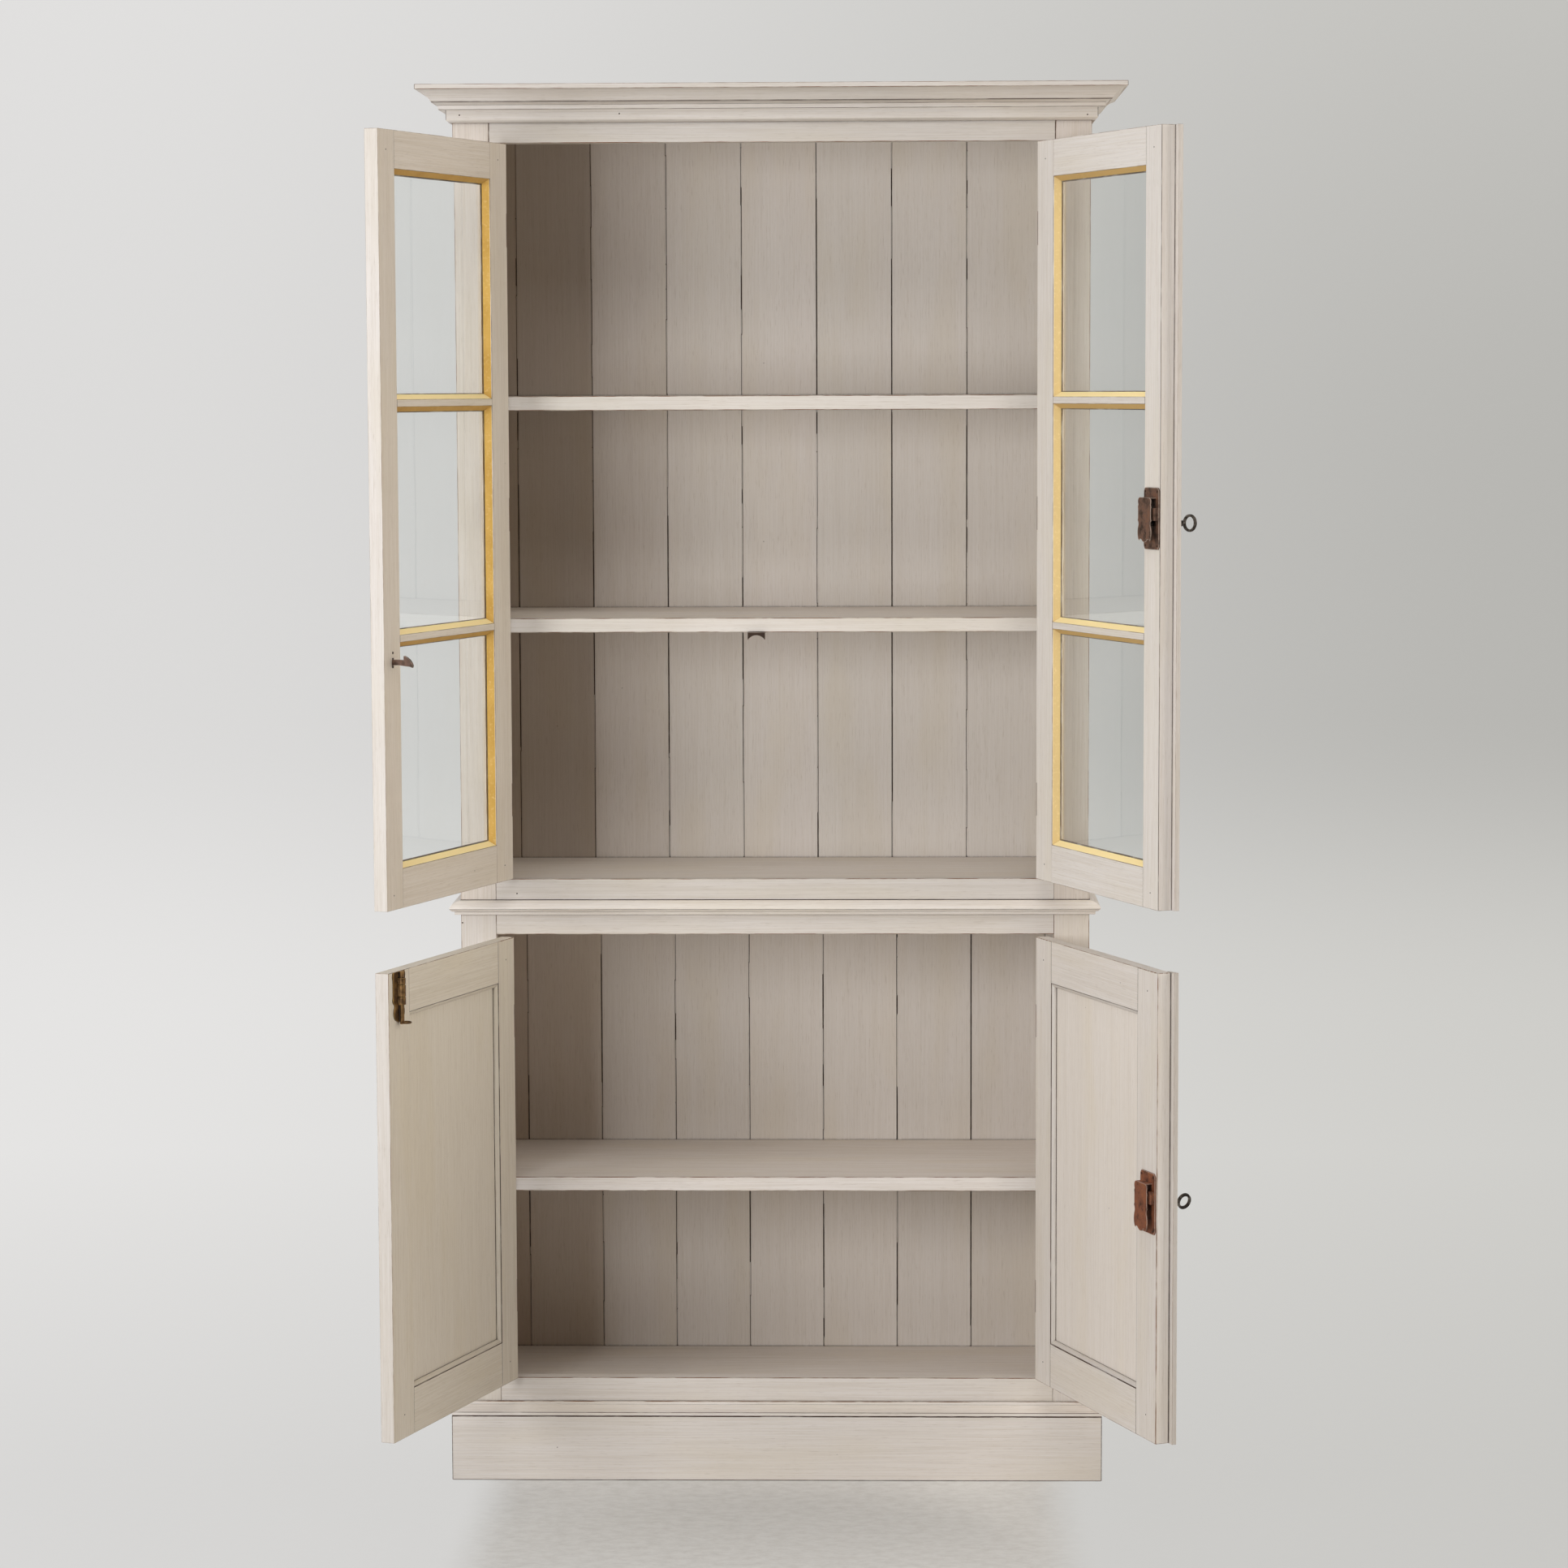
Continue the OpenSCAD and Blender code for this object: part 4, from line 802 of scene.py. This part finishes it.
# A place on a door is across from its hinge edge, inward from its outer face, and up; all in mm
doorNails = {
    "upper_left_door": [(381, 20, 1927), (384, 20, 914), (28, 20, 1930), (28, 20, 917)],
    "upper_right_door": [(381, 20, 1925), (380, 20, 916), (27, 20, 1928), (29, 20, 918)],
    "lower_left_door": [(374, 20, 781), (372, 20, 186), (28, 20, 779), (27, 20, 184)],
    "lower_right_door": [(373, 20, 780), (374, 20, 188), (27, 20, 778), (28, 20, 185)],
}
beadPins = {         # in the two upright beads of each panel, the second row a little higher
    "across": (56.6, 340.2), "inward": 16.6, "higher": 4,
    "lower_left_door": [731.6, 654, 594, 530, 447, 353, 296, 226],
    "lower_right_door": [730, 697, 615.5, 531, 453, 366, 291, 231],
}
lockScrews = {
    "upper_right_door": [(363.5, 22, 1463.5), (400, 22, 1463.5), (363.5, 22, 1390), (400, 22, 1390)],
    "lower_right_door": [(362, 22, 525), (398, 22, 525), (362, 22, 450), (398, 22, 450)],
}
catchScrew = (379, 20, 1247)


def onDoor(door, across, inward, height):
    # a place on an open door and the outward direction of its inner face, in the frame
    side = "left" if "left" in door else "right"
    swing = Matrix.Rotation(-abs(doorTurn[side]), 3, "Z")
    place = hingePin + swing @ (pinToDoor + Vector((across, inward, 0)))
    facing = swing @ Vector((0, 1, 0))
    place.z = height
    if side == "right":
        place.x, facing.x = -place.x, -facing.x
    return place * mm, facing


def addHead(mesh, place, facing, look):
    # a low domed head that lies on the surface
    turned = facing.to_track_quat("Z", "Y").to_matrix().to_4x4()
    half = look["wide"] / 2 * mm
    flat = Matrix.Diagonal((half, half, look["proud"] * mm, 1))
    bmesh.ops.create_uvsphere(mesh, u_segments=10, v_segments=6, radius=1,
                              matrix=Matrix.Translation(place) @ turned @ flat)


def addHeads(name, body, heads, look):
    mesh = bmesh.new()
    tone = mesh.faces.layers.float_vector.new("tone")
    for place, facing in heads:
        addHead(mesh, place, facing, look)
    for face in mesh.faces:
        face[tone] = boardTint(look["tone"])
    addPiece(name, mesh, body, "rusted_steel")


def driveFixings():
    addHeads("caseNails", "cabinet", [(Vector(place) * mm, forwards) for place in caseNails], nailLook)
    for door, places in doorNails.items():
        heads = [onDoor(door, *place) for place in places]
        for height in beadPins.get(door, []):
            for row, across in enumerate(beadPins["across"]):
                heads.append(onDoor(door, across, beadPins["inward"], height + row * beadPins["higher"]))
        addHeads(pieceName(door) + "Pins", door, heads, nailLook)
    for door, places in lockScrews.items():
        addHeads(pieceName(door) + "LockScrews", door, [onDoor(door, *place) for place in places], screwLook)
    addHeads("catchScrew", "upper_left_door", [onDoor("upper_left_door", *catchScrew)], screwLook)
    print("nails and screws driven")


driveFixings()


# Studio
studioLook = {
    "floorWide": 16, "floorNear": -7.5, "wallAt": 5.2, "wallTall": 7, "bend": 1.3, "bendSteps": 24,
    "paper": "#e1e0dd",
    "scuff": "#d3d1cd",
    "scuffs": (22, 16, 20),                               # mm
    "lightLeft": "#e9e8e7", "lightRight": "#d1d0cc",     # the paper's glow at its foot
    "dimLeft": "#dfdedd", "dimRight": "#b9b8b4",         # and at the cabinet's mid height
    "besideCabinet": (0.36, 0.455),                       # metres from the middle; the shadow lies within
    "glowShare": 0.95,
}


def studioPaper(look):
    # Seamless background paper, matt and pale, lit apart from the cabinet: brighter at the left and
    # along its foot. In front of the cabinet it is plain paper, so that it holds the shadow.
    material, tree = newMaterial("studioPaper")
    place = addNode(tree, "TexCoord").outputs["Object"]
    split = addNode(tree, "SeparateXYZ", {"Vector": place})
    side = addNode(tree, "MapRange", {"Value": split.outputs["X"], "From Min": -2.2, "From Max": 2.2},
                   interpolation_type="SMOOTHSTEP")
    light = addNode(tree, "Mix", {0: side, 6: linear(look["lightLeft"]), 7: linear(look["lightRight"])},
                    data_type="RGBA").outputs[2]
    dim = addNode(tree, "Mix", {0: side, 6: linear(look["dimLeft"]), 7: linear(look["dimRight"])},
                  data_type="RGBA").outputs[2]
    rise = addNode(tree, "MapRange", {"Value": split.outputs["Z"], "From Min": 0.0, "From Max": 0.75},
                   interpolation_type="SMOOTHSTEP")
    fall = addNode(tree, "MapRange", {"Value": split.outputs["Z"], "From Min": 1.2, "From Max": 3.4,
                                      "To Min": 1.0, "To Max": 0.3}, interpolation_type="SMOOTHSTEP")
    dip = addNode(tree, "Math", {0: rise, 1: fall}, operation="MULTIPLY")
    glowColour = addNode(tree, "Mix", {0: dip, 6: light, 7: dim}, data_type="RGBA").outputs[2]
    nearer = addNode(tree, "MapRange", {"Value": split.outputs["Y"], "From Min": 0.0, "From Max": 2.6,
                                        "To Min": 0.88, "To Max": 1.0})
    glow = addNode(tree, "Emission", {"Color": glowColour, "Strength": nearer})

    # Fine scuffs and specks on the floor
    rubbed = addNode(tree, "Mapping", {"Vector": place, "Scale": perMm(*look["scuffs"])})
    scuffs = addNode(tree, "TexNoise", {"Vector": rubbed, "Scale": 1.0, "Detail": 6.0, "Roughness": 0.7})
    scuffShare = addNode(tree, "MapRange", {"Value": scuffs, "From Min": 0.4, "From Max": 0.7})
    colour = addNode(tree, "Mix", {0: scuffShare, 6: linear(look["paper"]), 7: linear(look["scuff"])},
                     data_type="RGBA").outputs[2]
    paper = addNode(tree, "BsdfPrincipled", {"Base Color": colour, "Roughness": 0.8})

    path = addNode(tree, "LightPath")
    seen = addNode(tree, "Math", {0: path.outputs["Is Camera Ray"], 1: path.outputs["Is Glossy Ray"]},
                   operation="MAXIMUM")
    seen = addNode(tree, "Math", {0: seen, 1: path.outputs["Is Transmission Ray"]}, operation="MAXIMUM")
    sideways = addNode(tree, "Math", {0: split.outputs["X"]}, operation="ABSOLUTE")
    within, beyond = look["besideCabinet"]
    beside = addNode(tree, "MapRange", {"Value": sideways, "From Min": within, "From Max": beyond},
                     interpolation_type="SMOOTHSTEP")
    behind = addNode(tree, "MapRange", {"Value": split.outputs["Y"], "From Min": 0.45, "From Max": 1.6},
                     interpolation_type="SMOOTHSTEP")
    away = addNode(tree, "Math", {0: beside, 1: behind}, operation="MAXIMUM")
    share = addNode(tree, "Math", {0: away, 1: look["glowShare"]}, operation="MULTIPLY")
    share = addNode(tree, "Math", {0: share, 1: seen}, operation="MULTIPLY")
    shader = addNode(tree, "MixShader", {0: share, 1: paper, 2: glow})
    addNode(tree, "OutputMaterial", {"Surface": shader})
    return material


def paperSweep(look):
    # floor and backdrop in one seamless sheet, bent up behind the cabinet
    mesh = bmesh.new()
    half = look["floorWide"] / 2
    line = [(look["floorNear"], 0)]
    steps = look["bendSteps"]
    for i in range(steps + 1):
        turn = math.pi / 2 * i / steps
        line.append((look["wallAt"] - look["bend"] + look["bend"] * math.sin(turn),
                     look["bend"] * (1 - math.cos(turn))))
    line.append((look["wallAt"], look["wallTall"]))
    left = [mesh.verts.new((-half, y, z)) for y, z in line]
    for a, b in zip(left, left[1:]):
        mesh.edges.new((a, b))
    made = bmesh.ops.extrude_edge_only(mesh, edges=mesh.edges)
    moved = [v for v in made["geom"] if isinstance(v, bmesh.types.BMVert)]
    bmesh.ops.translate(mesh, verts=moved, vec=(2 * half, 0, 0))
    bmesh.ops.recalc_face_normals(mesh, faces=mesh.faces)
    data = bpy.data.meshes.new("paperSweep")
    mesh.to_mesh(data)
    mesh.free()
    data.shade_smooth()
    sweep = bpy.data.objects.new("paperSweep", data)
    scene.collection.objects.link(sweep)
    data.materials.append(studioPaper(look))


studioLamps = {
    "keyNear": {"place": (-1.7, -3.6, 1.5), "aim": (0.0, 0.0, 1.1), "size": (1.0, 1.6), "watts": 38,
                "colour": "#fafcff"},
    "keySide": {"place": (-2.6, -3.2, 1.5), "aim": (0.0, 0.0, 1.1), "size": (1.0, 1.6), "watts": 52,
                "colour": "#fafcff"},
    "leftWall": {"place": (-3.6, -0.6, 1.8), "aim": (0.0, 0.0, 1.0), "size": (2.4, 2.4), "watts": 32,
                 "colour": "#fcfdff"},
    "rightWall": {"place": (3.6, -0.6, 1.8), "aim": (0.0, 0.0, 1.0), "size": (2.4, 2.4), "watts": 71,
                  "colour": "#fff8ef"},
    "overhead": {"place": (0.0, -2.4, 4.2), "aim": (0.0, 0.0, 0.8), "size": (3.0, 2.0), "watts": 51,
                 "colour": "#ffffff"},
    "behind": {"place": (0.0, 1.6, 4.4), "aim": (0.0, 0.0, 0.4), "size": (3.0, 2.0), "watts": 45,
               "colour": "#ffffff"},
}


def hangLamps(lamps):
    for name, lamp in lamps.items():
        data = bpy.data.lights.new(name, "AREA")
        data.shape = "RECTANGLE"
        data.size, data.size_y = lamp["size"]
        data.energy = lamp["watts"]
        data.color = linear(lamp["colour"])[:3]
        piece = bpy.data.objects.new(name, data)
        piece.location = lamp["place"]
        ahead = Vector(lamp["aim"]) - Vector(lamp["place"])
        piece.rotation_euler = ahead.to_track_quat("-Z", "Y").to_euler()
        scene.collection.objects.link(piece)


def roomLight(strength, colour):
    world = bpy.data.worlds.new("studioRoom")
    world.use_nodes = True
    world.node_tree.nodes.clear()
    tree = world.node_tree
    sky = addNode(tree, "Background", {"Color": linear(colour), "Strength": strength})
    addNode(tree, "OutputWorld", {"Surface": sky})
    scene.world = world


paperSweep(studioLook)
hangLamps(studioLamps)
roomLight(0.02, "#f4f4f2")
print("studio lit")
